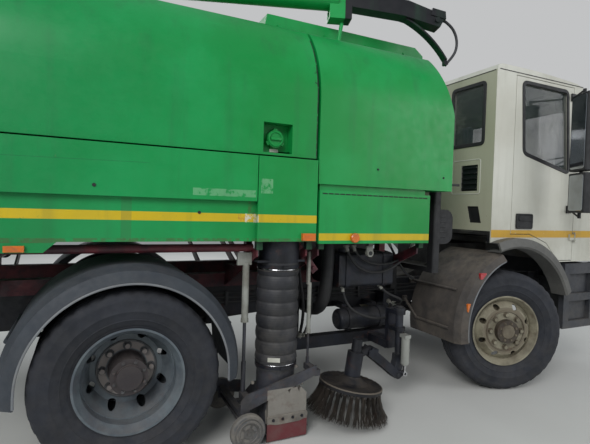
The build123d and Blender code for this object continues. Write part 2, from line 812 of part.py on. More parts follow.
def guard_profile(side, inner_y, crest_y, lip_y, crest, lip):
    wall = guard_wall
    points = [(inner_y, crest), (crest_y, crest), ((crest_y + lip_y) / 2 + 12, (crest + lip) / 2 + 14),
              (lip_y, lip), (lip_y, lip + wall + 4),
              ((crest_y + lip_y) / 2 + 16, (crest + lip) / 2 + 14 + wall),
              (crest_y + 2, crest + wall), (inner_y, crest + wall)]
    return [(side * y, radius) for y, radius in points]


def swept(profile, axle_x, first_deg, last_deg):
    """Profile swept about the axle between two angles, 0 pointing forward, 90 up."""
    points = [(radius, y) for y, radius in profile]
    face = make_face(Polyline(*points, close=True))
    turn = revolve(Rot(0, -first_deg, 0) * face, axis=Axis((0, 0, 0), (0, -1, 0)),
                   revolution_arc=last_deg - first_deg)
    return Pos(axle_x, 0, axle_height) * turn


def rear_guard(side):
    profile = guard_profile(side, 450, 1060, 1188, rear_guard_radius, 548)
    shell = swept(profile, 0, -6, 186)
    stays = []
    for angle in (22, 158):
        radius = rear_guard_radius + 10
        x = radius * math.cos(math.radians(angle))
        z = axle_height + radius * math.sin(math.radians(angle))
        stays.append(bar((x, side * (rail_outer_y + seat_gap), z), (x, side * 1000, z), 12))
    return fused(shell, *stays)


nodes["rear_mudguards"] = both_sides(rear_guard)

front_guard_radius = 650
front_guard_x = wheelbase + 20
front_guard_rise = 45


def front_guard(side):
    profile = guard_profile(side, 520, cab_half_width, cab_half_width + 85, front_guard_radius, 575)
    shell = Pos(0, 0, front_guard_rise) * swept(profile, front_guard_x, 107, 190)
    radius = front_guard_radius + 10
    stays = []
    for angle in (152, 180):
        x = front_guard_x + radius * math.cos(math.radians(angle))
        z = axle_height + front_guard_rise + radius * math.sin(math.radians(angle))
        stays.append(bar((x, side * 600, z), (x, side * (cab_half_width - 50), z), 12))
        pad_z = max(z, rail_low + 30)
        stays.append(block(x - 20, x + 20, *span(side, rail_outer_y + seat_gap, rail_outer_y + 30),
                           pad_z - 25, pad_z + 25))
        stays.append(bar((x, side * (rail_outer_y + 20), pad_z), (x, side * 610, z), 12))
    return fused(shell, *stays)


nodes["front_mudguards"] = both_sides(front_guard)


# Hopper and module share one body section

def body_section(inset, low_z):
    """Half-width walls, curved shoulders and flat roof, as a face of (y, z)."""
    w = body_half_width - inset
    end_y = curve_end_y - inset * 0.7
    end_z = curve_end_z - inset * 0.7
    radius = curve_radius - inset
    angle = math.radians(22)
    mid_y = body_half_width - curve_radius + radius * math.cos(angle)
    mid_z = curve_start + radius * math.sin(angle)
    top_y = end_y - 12
    top_z = roof_top - inset
    edges = [Line((-w, low_z), (w, low_z)), Line((w, low_z), (w, curve_start)),
             ThreePointArc((w, curve_start), (mid_y, mid_z), (end_y, end_z)),
             Line((end_y, end_z), (top_y, top_z)), Line((top_y, top_z), (-top_y, top_z)),
             Line((-top_y, top_z), (-end_y, end_z)),
             ThreePointArc((-end_y, end_z), (-mid_y, mid_z), (-w, curve_start)),
             Line((-w, curve_start), (-w, low_z))]
    return make_face(edges)


fill_pocket = (738, 933, 1830, 2015)
inlet_radius = 118


def hopper_shape():
    back = tail_face + door_thickness + running_gap
    upper = prism_x(body_section(0, side_line), back, hopper_front)
    hull = block(back, hopper_front, -hull_half_width, hull_half_width, hull_bottom, side_line + 5)
    header = prism_x(body_section(0, side_line), tail_face, back + 5)
    header &= block(tail_face - 5, back + 10, -clip_y, clip_y, door_top + running_gap, roof_top + 5)
    shell = fused(upper, hull, header)
    inner = prism_x(body_section(body_wall, side_line + body_wall), back - 5,
                    hopper_front - body_wall)
    inner_hull = block(back - 5, hopper_front - body_wall, -hull_half_width + body_wall,
                       hull_half_width - body_wall, hull_bottom + body_wall, side_line + body_wall + 5)
    sill_cut = block(tail_face - 5, back + 10, -clip_y, clip_y, 1000, door_top + running_gap)
    shell = shell - fused(inner, inner_hull) - sill_cut
    x0, x1, z0, z1 = fill_pocket
    pocket_wall = 8
    pocket_depth = 90
    tub = block(x0 - pocket_wall, x1 + pocket_wall, -body_half_width, -body_half_width + pocket_depth,
                z0 - pocket_wall, z1 + pocket_wall)
    shell = shell + tub
    shell -= block(x0, x1, -body_half_width - 5, -body_half_width + pocket_depth - pocket_wall, z0, z1)
    shell -= bar((hose_x, hose_y, side_line - 5), (hose_x, hose_y, side_line + body_wall + 5),
                 inlet_radius)
    fill_x = (x0 + x1) / 2
    fill_z = (z0 + z1) / 2
    cap_face = -body_half_width + pocket_depth - pocket_wall
    shell += bar((fill_x, cap_face + 5, fill_z), (fill_x, cap_face - 42, fill_z), 55)
    for y in (-tailgate_hinge_y, 0, tailgate_hinge_y):
        shell -= block(tail_face - 5, tail_face + 36, y - 32, y + 32, door_top, door_hinge_z + 34)
    pin_end = tailgate_hinge_y + 60
    pin = bar((tail_face, -pin_end, door_hinge_z), (tail_face, pin_end, door_hinge_z), door_pin_radius)
    return fused(shell, pin)


nodes["hopper_shell"] = hopper_shape()


def hopper_lug_shapes(side):
    """Two lugs on the tipping pivot and the forked lug that holds the ram's pin."""
    pivot_lugs = []
    for near in (beam_inner + 26, beam_outer - 46):
        y0, y1 = span(side, near, near + 20)
        lug = block(tip_x - 30, tip_x + 80, y0, y1, tip_z, hull_bottom - seat_gap)
        lug += bar((tip_x, y0, tip_z), (tip_x, y1, tip_z), 40)
        pivot_lugs.append(lug - bar((tip_x, y0 - 5, tip_z), (tip_x, y1 + 5, tip_z),
                                    tip_pin_radius + pin_gap))
    inside = ram_y - ram_thickness / 2 - 6
    outside = ram_y + ram_thickness / 2 + 6
    y0, y1 = span(side, inside - 20, outside + 20)
    fork = [bar((ram_eye_x, y0, ram_eye_z), (ram_eye_x, y1, ram_eye_z), ram_eye_pin_radius)]
    for y0, y1 in (span(side, inside - 20, inside), span(side, outside, outside + 20)):
        fork.append(block(ram_eye_x - 34, ram_eye_x + 34, y0, y1, ram_eye_z, side_line - seat_gap))
        fork.append(bar((ram_eye_x, y0, ram_eye_z), (ram_eye_x, y1, ram_eye_z), 34))
    return [*pivot_lugs, fused(*fork)]


nodes["hopper_lugs"] = group(*hopper_lug_shapes(-1), *hopper_lug_shapes(1))


# Roof duct from the hopper to the fan inlet

duct_rear = 850
duct_front = 2262
duct_half_width = 800
duct_top = 2835


def roof_duct_shape():
    low = roof_top + seat_gap
    raised = roof_top + 12
    outline = [(duct_rear, low), (duct_rear + 30, duct_top), (2180, duct_top),
               (duct_front, 2780), (duct_front, raised), (hopper_front, raised),
               (hopper_front, low)]
    duct = prism_y(outline, -duct_half_width, duct_half_width)
    ribs = []
    for side in (-1, 1):
        for x in (960, 1330, 1700, 2060):
            y0, y1 = sorted((side * duct_half_width, side * (duct_half_width + 55)))
            rib = prism_x([(side * duct_half_width, raised), (side * (duct_half_width + 55), raised),
                           (side * duct_half_width, raised + 70)], x - 3, x + 3)
            ribs.append(rib)
    return fused(duct, *ribs)


nodes["roof_duct"] = roof_duct_shape()


# Rear door

def rear_door_shape():
    full = prism_x(body_section(0, side_line), tail_face, tail_face + door_thickness)
    full &= block(tail_face - 5, tail_face + door_thickness + 5, -clip_y, clip_y, side_line, door_top)
    lower = block(tail_face, tail_face + door_thickness, -hull_half_width, hull_half_width,
                  hull_bottom + 6, side_line + 5)
    door = fused(full, lower)
    ribs = []
    for z in (1500, 1830, 2160):
        half = hull_half_width - 40
        ribs.append(block(tail_face - 18, tail_face + 5, -half, half, z, z + 60))
    for y in (-tailgate_hinge_y, 0, tailgate_hinge_y):
        arm = block(tail_face - 16, tail_face + 20, y - 26, y + 26, door_top - 30, door_hinge_z)
        arm += bar((tail_face, y - 26, door_hinge_z), (tail_face, y + 26, door_hinge_z),
                   door_knuckle_radius)
        ribs.append(arm)
    shape = fused(door, *ribs)
    for y in (-tailgate_hinge_y, 0, tailgate_hinge_y):
        shape -= bar((tail_face, y - 40, door_hinge_z), (tail_face, y + 40, door_hinge_z),
                     door_pin_radius + pin_gap)
    return shape


nodes["rear_door"] = rear_door_shape()


# Tipping rams: barrels on the cross tube, rods with slotted eyes

ram_direction = Vector(ram_eye_x - ram_base_x, 0, ram_eye_z - ram_base_z)
ram_length = ram_direction.length
ram_unit = ram_direction.normalized()
ram_bore = ram_rod_radius + 3


def along_ram(distance, y):
    return (ram_base_x + ram_unit.X * distance, y, ram_base_z + ram_unit.Z * distance)


def ram_barrel(side):
    y = side * ram_y
    half = ram_thickness / 2
    barrel = bar(along_ram(30, y), along_ram(ram_length - 75, y), ram_barrel_radius)
    eye = bar((ram_base_x, y - half, ram_base_z), (ram_base_x, y + half, ram_base_z), 52)
    shape = fused(barrel, eye)
    shape -= bar(along_ram(60, y), along_ram(ram_length, y), ram_bore)
    shape -= bar((ram_base_x, y - half - 30, ram_base_z), (ram_base_x, y + half + 30, ram_base_z),
                 ram_base_pin_radius + pin_gap)
    gland = tube(along_ram(ram_length - 95, y), along_ram(ram_length - 72, y),
                 ram_barrel_radius + 6, ram_rod_radius + pin_gap)
    return fused(shape, gland)


def ram_rod(side):
    """Rod whose eye is slotted outward, because the closed linkage is opened there."""
    y = side * ram_y
    half = ram_thickness / 2 - 2
    hole = ram_eye_pin_radius + 2
    outer = hole + 14
    rod = bar(along_ram(75, y), along_ram(ram_length - 20, y), ram_rod_radius)
    eye = bar(along_ram(ram_length, y - half), along_ram(ram_length, y + half), outer)
    far = bar(along_ram(ram_length + ram_eye_slot, y - half),
              along_ram(ram_length + ram_eye_slot, y + half), outer)
    angle = math.degrees(math.atan2(ram_unit.Z, ram_unit.X))
    middle = along_ram(ram_length + ram_eye_slot / 2, y)
    slab = Pos(*middle) * Rot(0, -angle, 0) * Box(ram_eye_slot, 2 * half, 2 * outer)
    slot = Pos(*middle) * Rot(0, -angle, 0) * Box(ram_eye_slot, 2 * half + 20, 2 * hole)
    shape = fused(rod, eye, far, slab) - slot
    shape -= bar(along_ram(ram_length, y - half - 10), along_ram(ram_length, y + half + 10), hole)
    shape -= bar(along_ram(ram_length + ram_eye_slot, y - half - 10),
                 along_ram(ram_length + ram_eye_slot, y + half + 10), hole)
    return shape


nodes["ram_barrels"] = both_sides(ram_barrel)
nodes["ram_rods"] = both_sides(ram_rod)


# Front module

module_wall = 30


def module_shape():
    outer = prism_x(body_section(0, module_bottom), module_rear, module_front)
    inner = prism_x(body_section(module_wall, module_bottom - 5), module_rear + module_wall,
                    module_front - module_wall)
    lean = [(module_rear - 5, module_bottom - 5), (module_front, module_bottom - 5),
            (module_front, module_lean_start), (module_top_front, roof_top + 5),
            (module_rear - 5, roof_top + 5)]
    inner_lean = [(module_rear, module_bottom - 10), (module_front - module_wall, module_bottom - 10),
                  (module_front - module_wall, module_lean_start - 5),
                  (module_top_front - module_wall, roof_top + 5), (module_rear, roof_top + 5)]
    outer &= prism_y(lean, -clip_y, clip_y)
    inner &= prism_y(inner_lean, -clip_y, clip_y)
    shell = outer - inner
    shell -= bar((fan_x, 0, roof_top - 60), (fan_x, 0, roof_top + 10), fan_neck_radius + 12)
    floor_beams = [block(x - 30, x + 30, -body_half_width + 5, body_half_width - 5,
                         module_bottom, module_bottom + 60) for x in (1200, 2200)]
    rest_foot = (1390, -900, 2680)
    rest_top = (1425, -888, 2845)
    rest = bar(rest_foot, rest_top, 14)
    return fused(shell, *floor_beams, rest)


nodes["module_shell"] = module_shape()


# Fixed side panels and the two flaps

def side_panel_set(side):
    y_skirt = span(side, skirt_plane - 10, skirt_plane)
    y_panel = span(side, panel_plane - flap_thickness, panel_plane)
    y_post = span(side, skirt_plane - 10 - post_depth, skirt_plane - 10)
    y_join = span(side, skirt_plane - 12, panel_plane - flap_thickness + 2)
    skirt = prism_y([(panel_rear, skirt_notch_bottom), (-430, skirt_notch_bottom),
                     (-370, skirt_bottom), (outrigger_stations[2], skirt_bottom),
                     (outrigger_stations[2], flap_bottom), (panel_rear, flap_bottom)], *y_skirt)
    rear_panel = block(panel_rear, flap_rear - running_gap, *y_panel, flap_bottom + 2, flap_top)
    mid_panel = block(flap_front + running_gap, hopper_front, *y_panel, skirt_bottom, flap_top)
    front_panel = block(module_rear, front_panel_front, *y_panel, front_panel_bottom,
                        front_panel_top)
    fill_strip = block(module_rear + 20, front_panel_front - 20,
                       *span(side, skirt_plane - 30, skirt_plane - 10), front_panel_top - 20,
                       module_bottom - seat_gap)
    tall = [block(x - 20, x + 20, *y_post, skirt_notch_bottom, flap_top - 5)
            for x in outrigger_stations[:4]]
    short = [block(x - 20, x + 20, *y_post, skirt_notch_bottom, module_bottom - 3)
             for x in outrigger_stations[4:]]
    rail_top_strip = block(outrigger_stations[0], outrigger_stations[2], *y_post,
                           flap_top - 38, flap_top - 5)
    spacers = [block(x - 18, x + 18, *y_join, 1560, 1600) for x in (-1510, -740, 740, 1085)]
    spacers += [block(x - 18, x + 18, *y_join, 1300, 1340) for x in (740, 1085, 1175, 2020)]
    axis_y = side * (panel_plane - flap_thickness / 2)
    pins = [bar((flap_rear - running_gap - 20, axis_y, flap_hinge_z),
                (flap_rear + 34, axis_y, flap_hinge_z), flap_pin_radius),
            bar((flap_front - 34, axis_y, flap_hinge_z),
                (flap_front + running_gap + 20, axis_y, flap_hinge_z), flap_pin_radius)]
    return fused(skirt, rear_panel, mid_panel, front_panel, fill_strip, *tall, *short,
                 rail_top_strip, *spacers, *pins)


nodes["side_panels"] = both_sides(side_panel_set)


def flap(side):
    y0, y1 = span(side, panel_plane - flap_thickness, panel_plane)
    sheet = block(flap_rear, flap_front, y0, y1, flap_bottom - 10, flap_top)
    inner_y = span(side, panel_plane - flap_thickness - 5, panel_plane - 8)
    sheet -= block(flap_rear + 60, flap_front - 60, *inner_y, flap_bottom + 40, flap_top - 50)
    axis_y = side * (panel_plane - flap_thickness / 2)
    for x0, x1 in ((flap_rear - 5, flap_rear + 36), (flap_front - 36, flap_front + 5)):
        sheet -= bar((x0, axis_y, flap_hinge_z), (x1, axis_y, flap_hinge_z),
                     flap_pin_radius + pin_gap)
    return sheet


for name, side in (("right", -1), ("left", 1)):
    nodes["side_flap_" + name] = flap(side)


# Suction duct and hose, lift cylinders and the tool carrier

def suction_hose_shape():
    return tube((hose_x, hose_y, hose_bottom), (hose_x, hose_y, hose_top), hose_radius, hose_bore)


nodes["suction_hose"] = suction_hose_shape()

tool_beam_low = 385
tool_beam_top = 480
tool_beam_rear = 1250
tool_beam_front = 2215
neck_plate_z = 1140
gusset_face = outrigger_thickness / 2 + seat_gap


def tool_frame_shape():
    neck = tube((hose_x, hose_y, hose_top + seat_gap), (hose_x, hose_y, side_line - 8),
                hose_radius - 6, hose_bore)
    plate = block(outrigger_stations[2] + gusset_face, outrigger_stations[3] - gusset_face,
                  -1095, -835, neck_plate_z, neck_plate_z + 12)
    plate -= bar((hose_x, hose_y, neck_plate_z - 5), (hose_x, hose_y, neck_plate_z + 20),
                 hose_radius - 15)
    beam = [block(tool_beam_rear, tool_beam_front, -620, -540, tool_beam_low, tool_beam_top)]
    for x in (tool_beam_rear + 40, tool_beam_front - 40):
        beam.append(block(x - 30, x + 30, -545, -rail_outer_y - seat_gap, tool_beam_low + 30, 780))
    beam.append(block(swing_x - 60, swing_x + 45, swing_y + 90, -600, tool_beam_low + 15,
                      tool_beam_top - 20))
    beam.append(block(swing_x - 45, swing_x + 45, swing_y + 80, swing_y + 120,
                      tool_beam_low + 15, swing_high_lug + 30))
    for low in (swing_low_lug, swing_high_lug):
        lug = block(swing_x - 45, swing_x + 45, swing_y, swing_y + 120, low, low + 30)
        lug += bar((swing_x, swing_y, low), (swing_x, swing_y, low + 30), 45)
        lug -= bar((swing_x, swing_y, low - 5), (swing_x, swing_y, low + 35),
                   swing_pin_radius + pin_gap)
        beam.append(lug)
    return group(fused(neck, plate), fused(*beam))


def lift_y(x):
    return -1000 if x > 900 else -1010


nodes["tool_frame"] = tool_frame_shape()


def lift_cylinder(post, hanger):
    x, low, high, radius, rod_radius, rod_low = post
    y = lift_y(x)
    barrel = tube((x, y, low), (x, y, high), radius, rod_radius + 1)
    barrel += tube((x, y, low - 12), (x, y, low + 10), radius + 3, rod_radius + pin_gap)
    barrel += bar((x, y, high - 5), (x, y, high + 12), radius)
    return barrel + block(*hanger, y - 12, y + 12, high, lift_hanger_top)


nodes["lift_cylinders"] = group(
    lift_cylinder(lift_posts[0], (640, outrigger_stations[2] - gusset_face)),
    lift_cylinder(lift_posts[1], (1150, outrigger_stations[4] - gusset_face)))


# Suction nozzle, open below, with its plate, castors and lift rods

nozzle_rear = 800
nozzle_front = 1110
nozzle_low = 60
nozzle_flap_low = 10
castor_radius = 110
castor_x = 678
castor_z = castor_radius + 6


def nozzle_shape():
    def hood(inset):
        base = Plane.XY.offset(nozzle_low - (1 if inset else 0)) * Pos(
            (nozzle_rear + nozzle_front) / 2, (nozzle_plate_y + nozzle_inner_y) / 2) * Rectangle(
            nozzle_front - nozzle_rear - 2 * inset, nozzle_inner_y - nozzle_plate_y - 2 * inset)
        top = Plane.XY.offset(300) * Pos(hose_x, hose_y) * Rectangle(
            230 - 2 * inset, 230 - 2 * inset)
        return loft([base.face(), top.face()])
    shell = hood(0) - hood(12)
    collar = bar((hose_x, hose_y, 290), (hose_x, hose_y, hose_bottom - seat_gap), 128)
    collar -= bar((hose_x, hose_y, 250), (hose_x, hose_y, hose_bottom + 5), 100)
    plate = prism_y([(castor_x - 40, 200), (castor_x + 20, 235), (nozzle_front + 48, 395),
                     (nozzle_front + 48, 458), (castor_x - 10, 330), (castor_x - 40, 290)],
                    nozzle_plate_y - 12, nozzle_plate_y)
    plate2 = prism_y([(castor_x - 40, 150), (nozzle_rear + 40, 110), (nozzle_rear + 40, 200),
                      (castor_x - 40, 240)], nozzle_inner_y, nozzle_inner_y + 12)
    cover_top = [(nozzle_front - 20, 292)]
    for x in (1035, 965, 895):
        cover_top += [(x + 13, 332), (x, 300), (x - 13, 332)]
    skirt = prism_y([(nozzle_rear + 20, 120), (nozzle_front - 20, 120), *cover_top,
                     (nozzle_rear + 20, 334)], nozzle_plate_y - 8, nozzle_plate_y + 20)
    flap = block(nozzle_rear + 15, nozzle_front - 15, nozzle_plate_y - 12, nozzle_plate_y - 4,
                 nozzle_flap_low, 132)
    rods = []
    for x, low, high, radius, rod_radius, rod_low in lift_posts:
        y = lift_y(x)
        rods.append(bar((x, y, rod_low), (x, y, high - lift_stroke - 25), rod_radius))
        plate_z = 250 + (x - castor_x) * 0.27
        rods.append(bar((x, y, plate_z), (x, y, rod_low + 5), rod_radius + 4))
        rods.append(block(x - 22, x + 22, nozzle_plate_y - 2, y + 12, plate_z, plate_z + 40))
    fork_low = castor_z
    axle = bar((castor_x, nozzle_plate_y - 62, castor_z), (castor_x, nozzle_inner_y + 62, castor_z), 12)
    arms = [block(castor_x - 22, castor_x + 22, nozzle_plate_y - 10, nozzle_plate_y, fork_low - 20,
                  290),
            block(castor_x - 22, castor_x + 22, nozzle_inner_y, nozzle_inner_y + 10,
                  fork_low - 20, 200)]
    tie = block(castor_x - 20, castor_x + 20, nozzle_plate_y, nozzle_inner_y, 160, 190)
    bridge = block(castor_x, nozzle_rear + 60, -900, -860, 160, 190)
    return fused(shell, collar, plate, plate2, skirt, flap, *rods, axle, *arms, tie, bridge)


nodes["nozzle"] = nozzle_shape()


def nozzle_wheel(centre_y):
    profile = [(12 + pin_gap, -24), (castor_radius - 8, -24), (castor_radius, -14),
               (castor_radius, 14), (castor_radius - 8, 24), (12 + pin_gap, 24)]
    return turned_y(profile, (castor_x, centre_y, castor_z))


nodes["nozzle_wheels"] = group(nozzle_wheel(nozzle_plate_y - 38), nozzle_wheel(nozzle_inner_y + 38))


# Side brush with its pivot, arm and lift ram

def brush_pivot_shape():
    post = bar((swing_x, swing_y, 300), (swing_x, swing_y, swing_high_lug + 60), swing_pin_radius)
    collar = bar((swing_x, swing_y, swing_high_lug + 30 + seat_gap),
                 (swing_x, swing_y, swing_high_lug + 50), swing_pin_radius + 14)
    lug = prism_y([(lift_hinge_x - 34, lift_hinge_z), (lift_hinge_x + 34, lift_hinge_z - 5),
                   (swing_x + 34, 300), (swing_x + 34, 380), (swing_x - 34, 380),
                   (swing_x - 38, 330)], swing_y - 30, swing_y + 30)
    lug += bar((lift_hinge_x, swing_y - 30, lift_hinge_z), (lift_hinge_x, swing_y + 30, lift_hinge_z), 34)
    pin = bar((lift_hinge_x, swing_y - 60, lift_hinge_z), (lift_hinge_x, swing_y + 60, lift_hinge_z),
              lift_pin_radius)
    y = swing_y - brush_ram_offset
    ram = tube((brush_ram_x, y, brush_ram_low), (brush_ram_x, y, 532), brush_ram_radius,
               brush_rod_radius + 1)
    gland = tube((brush_ram_x, y, brush_ram_low - 12), (brush_ram_x, y, brush_ram_low + 3),
                 brush_ram_radius - 8, brush_rod_radius + pin_gap)
    ram_top = block(brush_ram_x - 30, brush_ram_x + 25, y - brush_ram_radius, swing_y - 10, 520, 545)
    return fused(post, collar, lug, pin, ram, gland, ram_top)


nodes["brush_pivot"] = brush_pivot_shape()


def brush_ram_shape():
    y = swing_y - brush_ram_offset
    rod = bar((brush_ram_x, y, brush_ram_z), (brush_ram_x, y, 500), brush_rod_radius)
    eye = bar((brush_ram_x, y - 11, brush_ram_z), (brush_ram_x, y + 11, brush_ram_z), 20)
    hole = bar((brush_ram_x, y - 20, brush_ram_z), (brush_ram_x, y + 20, brush_ram_z), 10)
    return fused(rod, eye) - hole


nodes["brush_ram"] = brush_ram_shape()


def brush_frame():
    """Placement of the tilted brush: origin at the tips' centre."""
    centre_z = brush_tip_clearance + brush_radius * math.sin(math.radians(brush_tilt_deg))
    return Pos(brush_x, brush_y, centre_z) * Rot(0, brush_tilt_deg, 0)


def brush_arm_shape():
    plates = []
    elbow_x = 1710
    elbow_z = 437
    for near, far in ((-56, -36), (36, 56)):
        y0 = swing_y + near
        y1 = swing_y + far
        web = prism_y([(lift_hinge_x - 10, lift_hinge_z - 30), (lift_hinge_x + 26, lift_hinge_z + 16),
                       (elbow_x + 10, elbow_z + 30), (elbow_x - 30, elbow_z - 20)], y0, y1)
        plates += [web, bar((lift_hinge_x, y0, lift_hinge_z), (lift_hinge_x, y1, lift_hinge_z), 32)]
    y0 = swing_y - 56
    plates.append(prism_y([(lift_hinge_x, lift_hinge_z - 30), (brush_ram_x + 14, brush_ram_z - 14),
                           (brush_ram_x + 14, brush_ram_z + 14), (lift_hinge_x, lift_hinge_z + 30)],
                          y0, y0 + 20))
    plates.append(bar((brush_ram_x, swing_y - brush_ram_offset - 13, brush_ram_z),
                      (brush_ram_x, swing_y - 40, brush_ram_z), 7))
    shape = fused(*plates)
    for near, far in ((-56, -36), (36, 56)):
        shape -= bar((lift_hinge_x, swing_y + near - 5, lift_hinge_z),
                     (lift_hinge_x, swing_y + far + 5, lift_hinge_z), lift_pin_radius + pin_gap)
    yoke = block(elbow_x - 25, elbow_x + 60, swing_y - 56, swing_y + 56, elbow_z - 25, elbow_z + 15)
    reach = bar((elbow_x + 5, swing_y, elbow_z), (brush_x + 65, brush_y, elbow_z + 10), 26)
    up = Align.CENTER, Align.CENTER, Align.MIN
    motor = brush_frame() * Pos(0, 0, motor_z) * Cylinder(motor_radius, motor_height, align=up)
    post = brush_frame() * Pos(0, 0, motor_z + motor_height - 5) * Cylinder(36, 95, align=up)
    shaft = brush_frame() * Pos(0, 0, motor_z - 26) * Cylinder(18, 30, align=up)
    return fused(shape, yoke, reach, motor, post, shaft)


nodes["brush_arm"] = brush_arm_shape()


def side_brush_shape():
    up = Align.CENTER, Align.CENTER, Align.MIN
    disc_top = brush_disc_z + brush_disc_thickness
    disc = Pos(0, 0, brush_disc_z) * Cylinder(brush_disc_radius, brush_disc_thickness, align=up)
    hub = Pos(0, 0, disc_top - 5) * Cone(120, 60, motor_z - disc_top - 3, align=up)
    bore = Pos(0, 0, motor_z - 30) * Cylinder(18 + pin_gap, 40, align=up)
    tufts = []
    count = 30
    for index in range(count):
        top = Plane(origin=(brush_disc_radius - 16, 0, brush_disc_z + 4), x_dir=(1, 0, 0), z_dir=(0, 0, -1))
        foot = Plane(origin=(brush_radius - 30, 0, 0), x_dir=(1, 0, 0), z_dir=(0, 0, -1))
        tuft = loft([(top * Rectangle(20, 26)).face(), (foot * Rectangle(58, 44)).face()])
        tufts.append(Rot(0, 0, 360 * index / count) * tuft)
    body = fused(disc, hub) - bore
    return brush_frame() * fused(body, *tufts)


nodes["side_brush"] = side_brush_shape()


# Boom, its slewing column, luffing cylinder and the hose loop at its tip

boom_frame = Pos(slew_x, 0, 0) * Rot(0, 0, boom_heading_deg)
luff_base = (luff_arm * math.cos(math.radians(luff_base_deg)),
             boom_pivot_z + luff_arm * math.sin(math.radians(luff_base_deg)))
luff_eye = (luff_arm * math.cos(math.radians(luff_eye_deg)),
            boom_pivot_z + luff_arm * math.sin(math.radians(luff_eye_deg)))
# Route of the free hydraulic hose at the boom's tip: (forward along the boom, z)
hose_loop_route = [(3460, 2925), (3513, 2893), (3554, 2827), (3566, 2749), (3543, 2674), (3492, 2618)]


def column_shape():
    up = Align.CENTER, Align.CENTER, Align.MIN
    base = Pos(0, 0, roof_top + seat_gap) * Cylinder(190, 22, align=up)
    cheeks = []
    for side in (-1, 1):
        outline = [(-130, roof_top + 15), (120, roof_top + 15), (110, roof_top + 80),
                   (50, boom_pivot_z + 40), (-50, boom_pivot_z + 40), (-130, roof_top + 110)]
        cheeks.append(prism_y(outline, *span(side, 66, 82)))
    web = block(-128, -112, -70, 70, roof_top + 15, roof_top + 100)
    pin = bar((0, -90, boom_pivot_z), (0, 90, boom_pivot_z), boom_pin_radius)
    base_pin = bar((luff_base[0], -80, luff_base[1]), (luff_base[0], 80, luff_base[1]), 12)
    return boom_frame * fused(base, *cheeks, web, pin, base_pin)


nodes["boom_column"] = column_shape()


def boom_shape():
    z = boom_axis_z
    eye = bar((0, -60, boom_pivot_z), (0, 60, boom_pivot_z), 36)
    neck = prism_y([(-36, boom_pivot_z), (36, boom_pivot_z - 10), (260, z - 60), (260, z + 60),
                    (-30, z + 30)], -40, 40)
    pipe = bar((180, 0, z), (2640, 0, z), boom_radius)
    arm = prism_y([(2600, z - 62), (3120, z - 108), (3405, z - 172), (3445, z - 88),
                   (3160, z + 2), (2600, z + 62)], -55, 55)
    bracket = prism_y([(2578, z - 55), (2578, z - 165), (2740, z - 165), (2740, z - 62)], -60, 60)
    bracket -= block(2570, 2750, -40, 40, z - 150, z - 92)
    horn_outer = ThreePointArc((3160, 2915), (3335, 2800), (3478, 2634))
    horn_inner = ThreePointArc((3466, 2634), (3325, 2792), (3150, 2905))
    horn = prism_y(make_face([horn_outer, Line((3478, 2634), (3466, 2634)), horn_inner,
                              Line((3150, 2905), (3160, 2915))]), -35, 35)
    knuckle_bolt = bar((3380, -70, z - 125), (3380, 70, z - 125), 18)
    knuckle_plate = prism_y([(3330, z - 90), (3445, z - 115), (3440, z - 60), (3340, z - 40)], -62, 62)
    start = hose_loop_route[0]
    after = hose_loop_route[1]
    end = hose_loop_route[-1]
    before = hose_loop_route[-2]
    ferrules = [loop_ferrule(start, after, 34), loop_ferrule(end, before, 26)]
    clamp = prism_y([(3462, 2640), (3480, 2640), (3486, 2606), (3472, 2594), (3462, 2600)], -20, 20)
    lugs = []
    for near, far in ((-32, -20), (20, 32)):
        lug = prism_y([(luff_eye[0] - 24, luff_eye[1]), (luff_eye[0] + 24, luff_eye[1]),
                       (luff_eye[0] + 40, z - 50), (luff_eye[0] - 24, z - 50)], near, far)
        lugs.append(lug)
        lugs.append(bar((luff_eye[0], near, luff_eye[1]), (luff_eye[0], far, luff_eye[1]), 24))
    lugs.append(bar((luff_eye[0], -32, luff_eye[1]), (luff_eye[0], 32, luff_eye[1]),
                    luff_eye_pin_radius))
    shape = fused(neck, eye, pipe, arm, bracket, horn, knuckle_bolt, knuckle_plate, clamp,
                  *ferrules, *lugs)
    shape -= bar((0, -100, boom_pivot_z), (0, 100, boom_pivot_z), boom_pin_radius + pin_gap)
    return boom_frame * shape


def loop_ferrule(end, neighbour, length):
    """Crimped fitting that runs back from the hose's end, away from the hose."""
    way = Vector(end[0] - neighbour[0], 0, end[1] - neighbour[1]).normalized()
    start = Vector(end[0], 0, end[1])
    return bar(start, start + way * length, hose_loop_radius + 3)


nodes["boom"] = boom_shape()


def luff_barrel_shape():
    base = Vector(luff_base[0], 0, luff_base[1])
    way = Vector(luff_eye[0] - luff_base[0], 0, luff_eye[1] - luff_base[1]).normalized()
    barrel = bar(base + way * 15, base + way * 165, luff_barrel_radius)
    eye = bar((base.X, -20, base.Z), (base.X, 20, base.Z), 24)
    shape = fused(barrel, eye)
    shape -= bar(base + way * 35, base + way * 150, luff_rod_radius + 3)
    shape -= bar(base + way * 140, base + way * 170, luff_rod_radius + pin_gap)
    shape -= bar((base.X, -40, base.Z), (base.X, 40, base.Z), 12 + pin_gap)
    return boom_frame * shape


def luff_rod_shape():
    base = Vector(luff_base[0], 0, luff_base[1])
    eye_centre = Vector(luff_eye[0], 0, luff_eye[1])
    way = (eye_centre - base).normalized()
    rod = bar(base + way * 40, eye_centre - way * 16, luff_rod_radius)
    eye = bar((eye_centre.X, -15, eye_centre.Z), (eye_centre.X, 15, eye_centre.Z), 24)
    hole = bar((eye_centre.X, -20, eye_centre.Z), (eye_centre.X, 20, eye_centre.Z),
               luff_eye_pin_radius + 4.5)
    return boom_frame * (fused(rod, eye) - hole)


nodes["luff_barrel"] = luff_barrel_shape()
nodes["luff_rod"] = luff_rod_shape()


